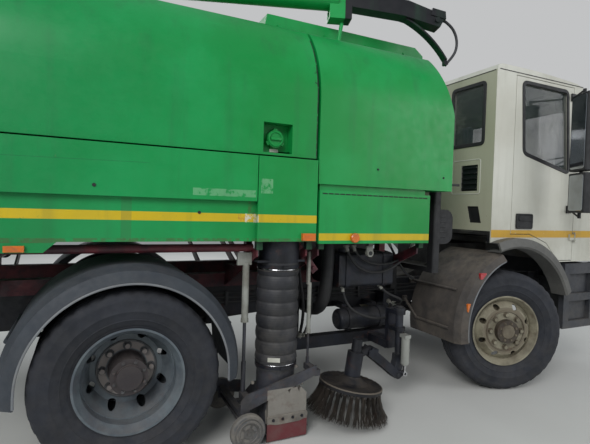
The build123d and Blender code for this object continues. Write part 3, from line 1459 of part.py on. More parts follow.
def hose_loop_shape():
    points = [Vector(s, 0, z) for s, z in hose_loop_route]
    radii = []
    for index in range(1, len(points) - 1):
        back = points[index] - points[index - 1]
        ahead = points[index + 1] - points[index]
        turn = math.radians(back.get_angle(ahead))
        radii.append(0.45 * min(back.length, ahead.length) / math.tan(turn / 2))
    print("hose loop bend radii", [round(radius) for radius in radii])
    path = FilletPolyline(*points, radius=radii)
    section = Plane(origin=path @ 0, z_dir=path % 0) * Circle(hose_loop_radius)
    print("hose loop length", round(path.length, 1))
    return boom_frame * sweep(section, path=path)


nodes["hose_loop"] = hose_loop_shape()


# Cab

def cab_side_outline(inset):
    """Side outline of the cab shell; inset 0 is outside."""
    i = inset
    return [(cab_rear + i, cab_floor_line + i), (wheelbase + 295, cab_floor_line + i),
            (wheelbase + 535, 1250 + i), (cab_arch_front + i * 0.4, cab_bottom + i),
            (cab_front - i, cab_bottom + i),
            (cab_front - i, windscreen_foot), (windscreen_head_x + 40 - i, cab_roof - 140),
            (windscreen_head_x - 40 - i * 0.5, cab_roof - 62 - i),
            (windscreen_head_x - 160, cab_roof - 28 - i), (wheelbase + 480, cab_roof - 10 - i),
            (wheelbase + 195, cab_roof - i), (cab_rear + 60 + i, cab_roof - 2 - i),
            (cab_rear + 16 + i, cab_roof - 14 - i), (cab_rear + i, cab_roof - 55 - i)]


def door_outline(grow):
    g = grow
    return [(door_rear - g, 1330 - g), (wheelbase + 225, 1330 - g), (wheelbase + 455, 1250 - g),
            (wheelbase + 595, door_sill + 30 - g),
            (wheelbase + 635, door_sill - g), (door_front + g, door_sill - g), (door_front + g, 1900),
            (wheelbase + 755 + g, cab_door_top + g), (door_rear - g, cab_door_top + g)]


arch_radius = 790 + seat_gap
sill_front = wheelbase + 575
window_outline = [(wheelbase + 69, 2646), (wheelbase + 666, 2644), (wheelbase + 720, 1901),
                  (wheelbase + 108, 2037)]
rear_window = (569, 929, 2105, 2625)
louvre_vent = (696, 884, 1695, 1925)
side_vent = (784, 941, 1415, 1560)
side_vent_slant = 38
vent_depth = 14
vent_slats = 5
grille_levels = (1240, 1310, 1380, 1450)


def grown(outline, amount):
    """Quadrilateral moved outward by about the amount at each corner."""
    cx = sum(p[0] for p in outline) / len(outline)
    cz = sum(p[1] for p in outline) / len(outline)
    return [(x + amount * math.copysign(1, x - cx), z + amount * math.copysign(1, z - cz))
            for x, z in outline]


def arch_point(x):
    """Point of the wheel arch's edge at x."""
    return (x, axle_height + math.sqrt(arch_radius ** 2 - (x - wheelbase) ** 2))


def sill(side):
    """Side wall below the cab's floor, down to the round wheel arch."""
    arch = ThreePointArc(arch_point(sill_front), arch_point(wheelbase + 350), arch_point(cab_rear))
    corners = [arch_point(cab_rear), (cab_rear, cab_floor_line + 20), (wheelbase + 295, cab_floor_line + 20),
               (wheelbase + 555, 1262), (cab_arch_front, cab_bottom + 20), (cab_arch_front, cab_bottom),
               (sill_front, cab_bottom), arch_point(sill_front)]
    return prism_y(make_face([arch, *Polyline(*corners).edges()]),
                   *span(side, cab_half_width - cab_wall, cab_half_width))


def cab_shape():
    outer = prism_y(cab_side_outline(0), -cab_half_width, cab_half_width)
    inner = prism_y(cab_side_outline(cab_wall), -cab_half_width + cab_wall,
                    cab_half_width - cab_wall)
    shell = fused(outer - inner, sill(-1), sill(1))
    for side in (-1, 1):
        y0, y1 = span(side, cab_half_width - cab_wall - 5, cab_half_width + 5)
        shell -= prism_y(door_outline(running_gap), y0, y1)
        y0, y1 = span(side, rear_window[0], rear_window[1])
        shell -= block(cab_rear - 5, cab_rear + cab_wall + 5, y0, y1, rear_window[2], rear_window[3])
    slope = math.atan2(cab_front - windscreen_head_x - 40, cab_roof - 140 - windscreen_foot)
    screen = Pos(cab_front, 0, windscreen_foot) * Rot(0, -math.degrees(slope), 0) * block(
        -cab_wall - 30, 40, -920, 920, 40, 620)
    shell -= screen
    y0, y1, z0, z1 = louvre_vent
    shell -= block(cab_rear - 5, cab_rear + vent_depth, -y1, -y0, z0, z1)
    for index in range(vent_slats):
        low = z0 + (index + 0.35) * (z1 - z0) / vent_slats
        shell += block(cab_rear - 2, cab_rear + vent_depth + 2, -y1 + 12, -y0 - 12, low, low + 14)
    y0, y1, z0, z1 = side_vent
    shell -= prism_x([(-y1, z0), (-y0 - side_vent_slant, z0), (-y0, z1), (-y1 + side_vent_slant, z1)],
                     cab_rear - 5, cab_rear + vent_depth)
    for low in grille_levels:
        shell -= block(cab_front - vent_depth, cab_front + 5, -620, 620, low, low + 34)
    lugs = []
    for side in (-1, 1):
        y0, y1 = span(side, 465, 515)
        lug = block(cab_tilt_x - 45, cab_tilt_x + 20, y0, y1, cab_tilt_z, cab_bottom + 10)
        lug += bar((cab_tilt_x, y0, cab_tilt_z), (cab_tilt_x, y1, cab_tilt_z), 40)
        lugs.append(lug - bar((cab_tilt_x, y0 - 5, cab_tilt_z), (cab_tilt_x, y1 + 5, cab_tilt_z),
                              tilt_pin_radius + pin_gap))
    hinges = []
    for side in (-1, 1):
        for z in door_hinge_levels:
            y = side * door_hinge_y
            hinges.append(bar((door_hinge_x, y, z - 45), (door_hinge_x, y, z + 45),
                              door_hinge_radius))
            for low in (z - 45, z + 33):
                hinges.append(block(door_hinge_x - 11, door_hinge_x + 20,
                                    *span(side, cab_half_width - 10, door_hinge_y + 9),
                                    low, low + 12))
    return fused(shell, *lugs, *hinges)


nodes["cab_shell"] = cab_shape()


def door_shape(side):
    y0, y1 = span(side, cab_half_width - cab_wall, cab_half_width)
    door = prism_y(door_outline(0), y0, y1)
    door -= prism_y(window_outline, y0 - 5, y1 + 5)
    y = side * door_hinge_y
    for z in door_hinge_levels:
        strap = block(door_hinge_x - 75, door_hinge_x, *span(side, cab_half_width - 1, door_hinge_y),
                      z - 28, z + 28)
        strap += bar((door_hinge_x, y, z - 28), (door_hinge_x, y, z + 28), 15)
        strap -= block(door_front, door_hinge_x + 20,
                       *span(side, cab_half_width - 5, cab_half_width + 0.5), z - 30, z + 30)
        door += strap
        door -= bar((door_hinge_x, y, z - 60), (door_hinge_x, y, z + 60),
                    door_hinge_radius + pin_gap)
    y4, y5 = sorted((side * cab_half_width, side * (cab_half_width + 10)))
    handle = block(wheelbase + 41, wheelbase + 245, y4, y5, 1376, 1505)
    return fused(door, handle)


def door_glass_shape(side):
    middle = side * (cab_half_width - cab_wall / 2)
    return prism_y(grown(window_outline, -seat_gap), middle - glass_thickness / 2,
                   middle + glass_thickness / 2)


mirror_pole_x = wheelbase + 530
mirror_pole_y = 1290


def mirror_shape(side):
    """Main and wide-angle mirror with rounded housings on one pole."""
    plan = [(mirror_pole_x - 29, 1200), (mirror_pole_x - 126, 1400), (mirror_pole_x - 70, 1420),
            (mirror_pole_x, 1400), (mirror_pole_x + 35, 1270), (mirror_pole_x + 20, 1205)]
    cases = []
    for low, high in ((1885, 2545), (1528, 1870)):
        case = prism_z(rounded([(x, side * y) for x, y in plan], 12), low, high)
        rims = case.faces().filter_by(Axis.Z).edges()
        cases.append(fillet(rims, 10))
    pole = bar((mirror_pole_x, side * mirror_pole_y, 1480), (mirror_pole_x, side * mirror_pole_y, 2600), 14)
    arms = [bar((mirror_pole_x, side * mirror_pole_y, z0),
                (wheelbase + 745, side * (cab_half_width + 9), z1), 8)
            for z0, z1 in ((2590, 2600), (1490, 1560))]
    feet = [block(wheelbase + 715, wheelbase + 775,
                  *span(side, cab_half_width + seat_gap, cab_half_width + 14), z - 35, z + 35)
            for z in (2600, 1560)]
    return fused(*cases, pole, *arms, *feet)


for name, side in (("right", -1), ("left", 1)):
    nodes["door_" + name] = door_shape(side)
    nodes["door_glass_" + name] = door_glass_shape(side)
    nodes["mirror_" + name] = mirror_shape(side)


def flare(side):
    profile = [(cab_half_width - 60, 700), (cab_half_width + 78, 705), (cab_half_width + 90, 722),
               (cab_half_width + 78, 790), (cab_half_width - 60, 790), (cab_half_width - 60, 782),
               (cab_half_width + 60, 782), (cab_half_width + 70, 722), (cab_half_width - 60, 708)]
    shell = swept([(side * y, r) for y, r in profile], wheelbase, 22, 108)
    return shell


nodes["arch_flares"] = both_sides(flare)


def cab_glass_shape():
    panes = []
    for side in (-1, 1):
        y0, y1 = span(side, rear_window[0] + seat_gap, rear_window[1] - seat_gap)
        panes.append(block(cab_rear + 14, cab_rear + 14 + glass_thickness, y0, y1,
                           rear_window[2] + seat_gap, rear_window[3] - seat_gap))
    slope = math.atan2(cab_front - windscreen_head_x - 40, cab_roof - 140 - windscreen_foot)
    panes.append(Pos(cab_front, 0, windscreen_foot) * Rot(0, -math.degrees(slope), 0) * block(
        -22, -14, -920 + seat_gap, 920 - seat_gap, 40 + seat_gap, 620 - seat_gap))
    return group(*panes)


nodes["cab_glass"] = cab_glass_shape()


def cab_interior_shape():
    floor = cab_floor_line + cab_wall + seat_gap
    front = cab_front - cab_wall - 1
    dash = prism_y([(wheelbase + 875, 1700), (wheelbase + 925, 1560), (wheelbase + 1075, 1480),
                    (front, 1480), (front, 1880), (wheelbase + 1045, 1900), (wheelbase + 905, 1840)],
                   -cab_half_width + cab_wall + 20, cab_half_width - cab_wall - 20)
    foot = block(wheelbase + 1125, front, -300, 300, cab_bottom + cab_wall + seat_gap, 1500)
    wheel = Pos(wheelbase + 800, -480, 1960) * Rot(0, 62, 0) * Torus(215, 16)
    spokes = Pos(wheelbase + 800, -480, 1960) * Rot(0, 62, 0) * Box(36, 400, 14)
    column = bar((wheelbase + 800, -480, 1960), (wheelbase + 985, -480, 1800), 30)
    bases = [block(cab_rear + 200, cab_rear + 630, y - 190, y + 190, floor, 1560) for y in (-480, 480)]
    return group(fused(dash, foot, wheel, spokes, column), *bases)


nodes["cab_interior"] = cab_interior_shape()


def seats_shape():
    seats = []
    for y in (-480, 480):
        cushion = block(cab_rear + 200, cab_rear + 670, y - 240, y + 240, 1560.5, 1690)
        back = prism_y([(cab_rear + 110, 1680), (cab_rear + 240, 1680), (cab_rear + 160, 2330),
                        (cab_rear + 60, 2330)], y - 230, y + 230)
        seats.append(fused(cushion, back))
    return group(*seats)


nodes["seats"] = seats_shape()


# Write every node, shifted to the truck's own origin

rear_overhang = -tail_face + door_knuckle_radius
overall_length = rear_overhang + bumper_front
origin_shift = Pos(rear_overhang - overall_length / 2, 0, 0)

for name, shape in nodes.items():
    export_step(origin_shift * shape, "parts/" + name + ".step")
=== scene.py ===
import json
import math
import random

import bmesh
import bpy
from mathutils import Matrix, Vector


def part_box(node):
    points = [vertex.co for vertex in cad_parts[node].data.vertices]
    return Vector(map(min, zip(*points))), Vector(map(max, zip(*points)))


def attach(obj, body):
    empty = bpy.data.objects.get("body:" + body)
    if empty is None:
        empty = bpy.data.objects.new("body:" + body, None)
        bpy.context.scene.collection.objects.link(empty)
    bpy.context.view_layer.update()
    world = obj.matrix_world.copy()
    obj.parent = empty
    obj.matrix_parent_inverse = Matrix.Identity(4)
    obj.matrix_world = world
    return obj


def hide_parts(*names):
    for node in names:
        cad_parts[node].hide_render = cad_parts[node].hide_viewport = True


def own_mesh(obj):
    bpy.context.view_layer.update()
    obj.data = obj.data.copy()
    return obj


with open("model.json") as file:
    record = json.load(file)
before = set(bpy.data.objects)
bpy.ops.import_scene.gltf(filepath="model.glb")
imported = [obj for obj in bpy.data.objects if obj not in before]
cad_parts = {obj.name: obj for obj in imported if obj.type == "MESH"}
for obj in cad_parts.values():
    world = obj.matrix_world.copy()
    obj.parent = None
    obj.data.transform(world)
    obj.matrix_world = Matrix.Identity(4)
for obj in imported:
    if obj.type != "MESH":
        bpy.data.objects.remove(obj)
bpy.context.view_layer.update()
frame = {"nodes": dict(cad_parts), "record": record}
random.seed(7)

# Pieces are placed like the solids: x forward from the rear axle, metres.
REAR_AXLE_TO_ORIGIN = 1.354
AXLE_Z = 0.505
WHEELBASE = 3.105
KINGPIN_Y = 0.830
STEER_REST = math.radians(-19)
SIDES = {"right": -1, "left": 1}


def at(x, y, z):
    """Point given forward from the rear axle, in the row frame."""
    return Vector((x - REAR_AXLE_TO_ORIGIN, y, z))


def srgb(code):
    """Colour as the eye picks it, six hex digits, in the linear values that shaders use."""
    shares = [value / 255 for value in bytes.fromhex(code)]
    return (*(share / 12.92 if share <= 0.04045 else ((share + 0.055) / 1.055) ** 2.4
              for share in shares), 1)


# Materials


class Finish:
    """One node material: it starts from a base colour, and each tint goes over what is there."""

    def __init__(self, name, base):
        self.material = bpy.data.materials.new(name)
        self.material.use_nodes = True
        self.tree = self.material.node_tree
        self.shader = self.tree.nodes["Principled BSDF"]
        self.color = base
        self.point = self.add("TexCoord").outputs["Object"]
        self.x, self.y, self.z = self.add("SeparateXYZ", {0: self.point}).outputs
        normal = self.add("NewGeometry").outputs["Normal"]
        self.facing = self.add("SeparateXYZ", {0: normal}).outputs

    def join(self, source, target):
        if isinstance(source, bpy.types.NodeSocket):
            self.tree.links.new(source, target)
        else:
            target.default_value = source

    def add(self, kind, inputs=None, **settings):
        node = self.tree.nodes.new("ShaderNode" + kind)
        for key, value in settings.items():
            setattr(node, key, value)
        for key, value in (inputs or {}).items():
            self.join(value, node.inputs[key])
        return node

    def calculation(operation):
        return lambda self, a, b=0.0, clamp=False: self.add(
            "Math", {0: a, 1: b}, operation=operation, use_clamp=clamp).outputs[0]

    plus, less, product, size, sign, root = map(
        calculation, ("ADD", "SUBTRACT", "MULTIPLY", "ABSOLUTE", "SIGN", "SQRT"))

    def times(self, product, *others):
        for other in others:
            product = self.product(product, other)
        return product

    def along(self, a, b, angle):
        """Measure along a line that is turned by the angle from a's axis toward b's."""
        return self.plus(self.times(a, math.cos(angle)), self.times(b, math.sin(angle)))

    def ramp(self, value, low, high, start=0.0, end=1.0):
        """Value taken from low..high to start..end with a smooth step, clamped."""
        inputs = {"Value": value, "From Min": low, "From Max": high, "To Min": start, "To Max": end}
        return self.add("MapRange", inputs, interpolation_type="SMOOTHSTEP").outputs["Result"]

    def under(self, value, level, edge=0.001):
        """1 below the level, with a thin soft edge."""
        return self.ramp(value, level - edge, level + edge, 1.0, 0.0)

    def within(self, value, low, high, edge=0.0012):
        """1 between low and high, with thin soft edges."""
        return self.times(self.ramp(value, low - edge, low + edge), self.under(value, high, edge))

    def noise(self, scale, detail=4.0, roughness=0.55, stretch=(1, 1, 1), offset=0.0):
        mapping = self.add("Mapping", {"Vector": self.point, "Scale": stretch, "Location": (offset,) * 3})
        return self.add("TexNoise", {"Vector": mapping.outputs[0], "Scale": scale, "Detail": detail,
                                     "Roughness": roughness}).outputs["Fac"]

    def cloud(self, low, high, *noise, **options):
        """Patches of noise: 0 where it is under low, 1 where it is over high."""
        return self.ramp(self.noise(*noise, **options), low, high)

    def wave(self, axis, scale, distortion=0.0):
        inputs = {"Vector": self.point, "Scale": scale, "Distortion": distortion}
        return self.add("TexWave", inputs, bands_direction=axis).outputs["Fac"]

    def tint(self, shade, *shares):
        """Lays a colour over what is there, by the product of the shares."""
        self.color = self.add("Mix", {"Factor": self.times(*shares), 6: self.color, 7: shade},
                              data_type="RGBA").outputs[2]

    def cover(self, layers):
        """Lays (mask maker, colour) layers over what is there."""
        for make_mask, shade in layers:
            self.tint(shade, make_mask(self))

    def bump(self, *heights):
        """Adds bumps; each is (height socket, strength, distance)."""
        below = {}
        for height, strength, distance in heights:
            node = self.add("Bump", {"Strength": strength, "Distance": distance, "Height": height, **below})
            below = {"Normal": node.outputs[0]}
        self.join(node.outputs[0], self.shader.inputs["Normal"])

    def finish(self, roughness, **fixed):
        self.join(self.color, self.shader.inputs["Base Color"])
        self.join(roughness, self.shader.inputs["Roughness"])
        for key, value in fixed.items():
            self.shader.inputs[key.replace("_", " ")].default_value = value
        return self.material


def of_shades(write):
    """Turns a function that writes a finish into one that takes its colours now and its name later."""
    return lambda codes, **options: lambda name: write(name, *map(srgb, codes.split()), **options)


@of_shades
def worn_paint(name, base, worn, grime, gloss=0.38, rust=0.25, streaks=0.22, dust=0.18, layers=()):
    """Old paint: faded patches, rain streaks, scuffs, rust spots, and dust that thickens downward."""
    f = Finish(name, base)
    f.tint(worn, f.cloud(0.38, 0.66, 1.3, 5))
    f.cover(layers)
    scuff = f.cloud(0.60, 0.72, 3.0, 7, 0.72, (0.7, 0.7, 13), 3.1)
    f.tint(worn, scuff, f.cloud(0.46, 0.62, 2.1, 3, offset=5.7), 0.35)
    f.tint(grime, f.cloud(0.50, 0.72, 9.0, 6, 0.6, (1, 1, 0.07), 1.7), streaks)
    film = f.times(f.ramp(f.z, 1.1, 1.7, 1.0, 0.0), f.cloud(0.30, 0.70, 5.5, 6, 0.65, (1, 1, 0.5), 8.2))
    f.tint(grime, film, dust)
    f.tint(grime, f.ramp(f.facing[2], 0.55, 0.95), 0.45, f.cloud(0.3, 0.6, 7, 6, 0.7, offset=2.2))
    spots = f.times(f.cloud(0.64, 0.69, 23, 8, 0.75, offset=4.4), f.cloud(0.50, 0.60, 2.6, 3, offset=9.1))
    f.tint(srgb("5c3422"), spots, rust)
    f.bump((f.noise(1.7, 2, 0.4, offset=6.6), 0.125, 0.05), (f.noise(210, 3, 0.6), 0.10, 0.0006),
           (spots, 0.25, 0.001))
    rough = f.ramp(f.noise(16, 6, 0.7), 0.25, 0.8, gloss - 0.07, gloss + 0.12)
    return f.finish(f.plus(rough, f.times(film, 0.25)), Specular_IOR_Level=0.38)


@of_shades
def moulded(name, base, worn, dust, rough=0.62, dust_amount=0.5, grain=420, up_dust=0.6):
    """Grained plastic or rubber with dust that lies on what faces up and on the lower part."""
    f = Finish(name, base)
    f.tint(worn, f.cloud(0.35, 0.68, 4.5, 6, 0.6))
    film = f.times(f.ramp(f.z, 0.15, 1.2, 1.0, 0.15), f.cloud(0.35, 0.68, 9, 8, 0.7, offset=3.3))
    f.tint(dust, film, dust_amount)
    f.tint(dust, f.ramp(f.facing[2], 0.2, 0.95), up_dust, f.cloud(0.3, 0.62, 12, 7, 0.7, offset=7.3))
    f.tint(dust, f.cloud(0.63, 0.70, 7, 7, 0.75, (1, 1, 9), 2.4), 0.18)
    f.bump((f.noise(grain, 2, 0.5), 0.22, 0.0006), (f.noise(2.4, 3), 0.15, 0.01))
    uneven = f.ramp(f.noise(25, 5), 0.3, 0.7, rough - 0.08, rough + 0.08)
    return f.finish(f.plus(uneven, f.times(film, 0.15)))


@of_shades
def greasy_metal(name, base, oil, dust, metal=0.2, rust=0.4, caking=0.45, layers=()):
    """Dirty cast or painted steel under the body: oil, caked dust and rust."""
    f = Finish(name, base)
    f.tint(oil, f.cloud(0.36, 0.64, 6, 7, 0.65))
    f.cover(layers)
    f.tint(srgb("543426"), f.cloud(0.52, 0.66, 13, 8, 0.72, offset=4.1),
           f.cloud(0.42, 0.62, 3.3, 4, offset=1.9), rust)
    caked = f.times(f.ramp(f.facing[2], 0.05, 0.9), f.cloud(0.32, 0.62, 10, 8, 0.7, offset=6.4))
    f.tint(dust, caked, caking)
    f.tint(dust, f.ramp(f.z, 0.1, 0.9, 1.0, 0.2), f.cloud(0.40, 0.70, 8, 8, 0.7, offset=9.9), caking * 0.8)
    f.bump((f.noise(70, 7, 0.7), 0.3, 0.0022), (f.noise(11, 5), 0.2, 0.006))
    uneven = f.ramp(f.noise(30, 6, 0.7), 0.3, 0.7, 0.38, 0.62)
    return f.finish(f.plus(uneven, f.times(caked, 0.3)), Metallic=metal)


@of_shades
def bright_metal(name, base, dirt, cloud, share, smooth, rough):
    """Chrome or silvering under a broken film of dirt."""
    f = Finish(name, base)
    film = f.cloud(*cloud)
    f.tint(dirt, film, share)
    return f.finish(f.ramp(film, 0, 1, smooth, rough), Metallic=1.0)


@of_shades
def clear_glass(name, pane):
    """Dusty pane: see-through glass under a broken film of dust."""
    f = Finish(name, pane)
    edge = f.times(f.cloud(0.50, 0.72, 13, 8, 0.75, (1, 1, 0.3), 3.0), 0.3)
    dirt = f.plus(f.times(f.cloud(0.40, 0.75, 3.5, 7, 0.65), 0.5), edge, clamp=True)
    f.tint(srgb("96968c"), dirt)
    f.join(f.ramp(dirt, 0.0, 0.8, 0.30, 0.62), f.shader.inputs["Alpha"])
    f.material.surface_render_method = "BLENDED"
    return f.finish(f.ramp(dirt, 0, 1, 0.04, 0.5), IOR=1.5)


@of_shades
def lens(name, side_colour):
    """Coloured at the sides, red at the tail, clear at the front, with moulded ribs."""
    f = Finish(name, side_colour)
    f.tint(srgb("d2d6d8"), f.ramp(f.x, 2.9, 3.0))
    f.tint(srgb("aa100e"), f.ramp(f.x, -3.0, -2.9, 1.0, 0.0))
    f.tint(srgb("785f46"), f.cloud(0.45, 0.7, 20, 7, 0.7), 0.5)
    f.bump((f.wave("Z", 60), 0.35, 0.001))
    return f.finish(0.28, Coat_Weight=0.6, Transmission_Weight=0.15)


@of_shades
def woven(name, base, thread):
    """Coarse cloth, dusty in patches."""
    f = Finish(name, base)
    x_wave, y_wave, z_wave = [f.wave(axis, 95, 0.6) for axis in "XYZ"]
    weave = f.times(f.plus(x_wave, z_wave), y_wave)
    f.tint(thread, f.ramp(weave, 0.2, 1.4))
    f.tint(srgb("56524c"), f.cloud(0.4, 0.7, 7, 6), 0.5)
    f.bump((weave, 0.5, 0.0008))
    return f.finish(0.9, Sheen_Weight=0.35)


# Masks: each maker gives a function that writes its mask into a finish. Lengths along x are given
# forward from the rear axle.


def row_x(x):
    return at(x, 0, 0).x


def stripe(low, high, rear, front):
    """Painted stripe along a side wall, worn through in places."""
    return lambda f: f.times(f.within(f.z, low, high), f.within(f.x, row_x(rear), row_x(front)),
                             f.ramp(f.size(f.facing[1]), 0.5, 0.8), f.cloud(0.28, 0.36, 34, 6, 0.7))


def inboard_and_below(reach, height):
    return lambda f: f.times(f.under(f.size(f.y), reach), f.under(f.z, height))


def outboard_right(y, low, high):
    """What lies right of y between two heights."""
    return lambda f: f.times(f.under(f.y, y), f.within(f.z, low, high))


def box_zone(low, high, skin=None, both_sides=False):
    """Inside of a box; skin leaves out a thin layer at that x."""
    def mask(f):
        inside = f.times(f.within(f.x, row_x(low[0]), row_x(high[0])),
                         f.within(f.size(f.y) if both_sides else f.y, low[1], high[1]),
                         f.within(f.z, low[2], high[2]))
        if skin is None:
            return inside
        return f.times(inside, f.ramp(f.size(f.less(f.x, row_x(skin))), 0.0004, 0.0008))
    return mask


def about_axle(x, inner, outer, steered=False):
    """Ring about a wheel's axis; a steered wheel is measured along its own disc."""
    def mask(f):
        away = f.less(f.x, row_x(x))
        if steered:
            side = f.times(f.less(f.size(f.y), KINGPIN_Y), f.sign(f.y))
            away = f.along(away, side, STEER_REST)
        up = f.less(f.z, AXLE_Z)
        return f.within(f.root(f.plus(f.times(away, away), f.times(up, up))), inner, outer, 0.002)
    return mask


def past_boom(distance):
    """What lies further along the boom than the distance."""
    def mask(f):
        run = f.along(f.less(f.x, row_x(SLEW_X)), f.y, BOOM_HEADING)
        return f.ramp(run, distance - 0.002, distance + 0.002)
    return mask


def smudge_and_sheen(rear, front, low, high, share, scale, cut=0.42, inner=-1.0):
    """Broken patch on the right side wall, outward from y inner; it draws dirt, wear, and the pale painted
    highlights.
    """
    inside = box_zone((rear, -1.2, low), (front, inner, high))
    return lambda f: f.times(inside(f), f.cloud(cut, cut + 0.12, scale, 6, 0.7, offset=rear), share)


def scratch(start, end, half_width, share):
    """Thin line on a side wall between two (x, z) points."""
    slope = (end[1] - start[1]) / (end[0] - start[0])

    def mask(f):
        run = f.times(f.less(f.x, row_x(start[0])), slope)
        off = f.size(f.less(f.less(f.z, start[1]), run))
        return f.times(f.under(off, half_width, half_width * 0.5),
                       f.within(f.x, row_x(start[0]), row_x(end[0]), 0.02), share)
    return mask


def toward_tail(f):
    """Grows from the module toward the tail."""
    return f.ramp(f.x, row_x(-1.9), row_x(1.6), 0.55, 0.0)


def across_tilt(low, high):
    """Layer of the tilted brush, by the height over its tips."""
    def mask(f):
        up = f.along(f.less(f.z, BRUSH_FOOT_Z), f.less(f.x, row_x(BRUSH_X)), BRUSH_TILT)
        return f.within(up, low, high, 0.0008)
    return mask


SLEW_X = -1.100
BOOM_HEADING = math.radians(-19.2)
BRUSH_TILT = math.radians(9)
BRUSH_X = 1.456
BRUSH_FOOT_Z = 0.012 + 0.305 * math.sin(BRUSH_TILT)
DISC_LOW, DISC_TOP, MOTOR_Z = 0.185, 0.211, 0.262
CAB_REAR = WHEELBASE - 0.255
CAB_FRONT = WHEELBASE + 1.255
CAB_SIDE = 1.050

YELLOW = srgb("c8ac1a")
BLACK_PAINT = srgb("18191d")
RUSTY_BROWN = srgb("543e28")
# Pale green for painted highlights on the side panel and flap; on the flap it also stands for pale scuffs.
PALE_SHEEN_AND_SCUFF = srgb("96c49e")
GREEN_PAINT = "068638 14964a 28583a"
BRUSH_WIRE = "4a443e 2a2826 6a5e50"

SIDE_MARKS_AND_SHEEN = [
    (smudge_and_sheen(-0.066, -0.012, 1.28, 1.535, 0.28, 9, 0.25), srgb("3e5438")),
    (smudge_and_sheen(0.592, 0.640, 1.396, 1.449, 0.6, 45, 0.45), srgb("b0703c")),
    (smudge_and_sheen(0.636, 0.712, 1.396, 1.449, 0.85, 40, 0.44), srgb("ceccc2")),
    (smudge_and_sheen(0.655, 0.700, 1.449, 1.535, 0.4, 25, 0.40), RUSTY_BROWN),
    # Painted highlight: a pale patch of sheen on the side panel, not a mark on the paint.
    (smudge_and_sheen(0.722, 0.800, 1.575, 1.665, 0.38, 26, 0.42), PALE_SHEEN_AND_SCUFF),
    (smudge_and_sheen(-1.30, 1.10, 1.275, 1.300, 0.45, 18), RUSTY_BROWN)]
FLAP_MARKS_AND_SHEEN = [(scratch((-0.62, 1.702), (0.07, 1.713), 0.0014, 0.6), srgb("145c38")),
              # Pale patch above the flap's bottom edge: partly scuffs, partly a painted reflection.
              (smudge_and_sheen(0.31, 0.69, 1.548, 1.590, 0.35, 24, 0.40), PALE_SHEEN_AND_SCUFF)]
SHELL_MARKS = [(smudge_and_sheen(1.103, 1.112, 1.30, 2.62, 0.95, 22, 0.34, -0.9), BLACK_PAINT),
               (smudge_and_sheen(1.085, 1.112, 2.28, 2.42, 0.9, 40, 0.50, -0.9), BLACK_PAINT)]


def green_body(zones=(), marks_and_sheen=()):
    """Green paint that cools toward the tail; worn and dirty patches and painted highlights lie over the
    stripes, zones under them.
    """
    return worn_paint(GREEN_PAINT, layers=[
        (toward_tail, srgb("04764e")), *zones, (stripe(1.398, 1.447, -1.60, 1.112), YELLOW),
        (stripe(1.286, 1.333, 1.125, 2.06), YELLOW), *marks_and_sheen])


def cab_paint(*zones):
    return worn_paint("c6c6bc b8b7ab 76705c", gloss=0.36, rust=0.35, streaks=0.14, dust=0.25,
                      layers=[*zones, (stripe(1.297, 1.362, 2.80, 4.50), srgb("c49828"))])


def black_box(low, high, **options):
    return box_zone(low, high, **options), BLACK_PAINT


rear_wheel = greasy_metal("60696e 4a525a 685e58", metal=0.05, rust=0.3, caking=0.3, layers=[
    (about_axle(0, 0.118, 0.160), srgb("8a827e")), (about_axle(0, -1.0, 0.113), srgb("322d2f"))])
front_wheel = greasy_metal("928d7a 686252 7c7262", metal=0.05, rust=0.5, caking=0.3, layers=[
    (about_axle(WHEELBASE, 0.160, 0.200, True), srgb("706858")),
    (about_axle(WHEELBASE, -1.0, 0.100, True), srgb("3a322a"))])
door = cab_paint(black_box((WHEELBASE + 0.035, CAB_SIDE + 0.0006, 1.37), (WHEELBASE + 0.25, 1.2, 1.51),
                           both_sides=True))

materials = {name: make(name) for name, make in {
    "green_paint": green_body(),
    "cab_white": cab_paint(),
    "chassis_paint": greasy_metal("15171f 0c0d11 363434"),
    "red_oxide": greasy_metal("682830 361c24 483e3e", metal=0.1),
    "dark_steel": greasy_metal("1c202b 0f1117 3c3a39"),
    "engine_iron": greasy_metal("40403e 1c1b1b 585048"),
    "nozzle_steel": greasy_metal("686664 464442 80786e"),
    "bristle_steel": greasy_metal(BRUSH_WIRE, metal=0.3),
    "chrome": bright_metal("cdcdd0 5f554b", share=0.5, smooth=0.12, rough=0.45,
                           cloud=(0.45, 0.75, 30, 6, 0.7, (1, 1, 3))),
    "wheel_grey": greasy_metal("545658 3c3c3e 68605a", metal=0.1, rust=0.6),
    "wheel_beige": greasy_metal("746c5c 4e463a 7c705e", metal=0.1, rust=0.7),
    "tyre": moulded("1c1f26 262931 4c4946", rough=0.8, dust_amount=0.32, grain=160, up_dust=0.15),
    "hose_rubber": moulded("1c1d21 2c2d32 5c5852", rough=0.55, up_dust=0.7),
    "solid_rubber": moulded("464648 606060 807a70", rough=0.75, dust_amount=0.8),
    "black_plastic": moulded("131417 1e1f22 42403d", up_dust=0.4),
    "bumper_plastic": moulded("2c2f35 3c3e43 5e5a54", up_dust=0.5),
    "guard_plastic": moulded("2c323a 3a4047 545454", rough=0.66, dust_amount=0.35, up_dust=0.35),
    "flare_plastic": moulded("4e4e4c 5c5c59 706c64", up_dust=0.35),
    "cylinder_grey": greasy_metal("969892 787870 786e60", metal=0.05, rust=0.35),
    "lamp_lens": lens("de7012"),
    "mirror_silver": bright_metal("b0b4b8 6e6862", share=0.4, smooth=0.05, rough=0.25,
                                  cloud=(0.42, 0.8, 4, 5, 0.6)),
    "seat_fabric": woven("2e323a 464c58"),
    "glass": clear_glass("3c484a"),
}.items()}

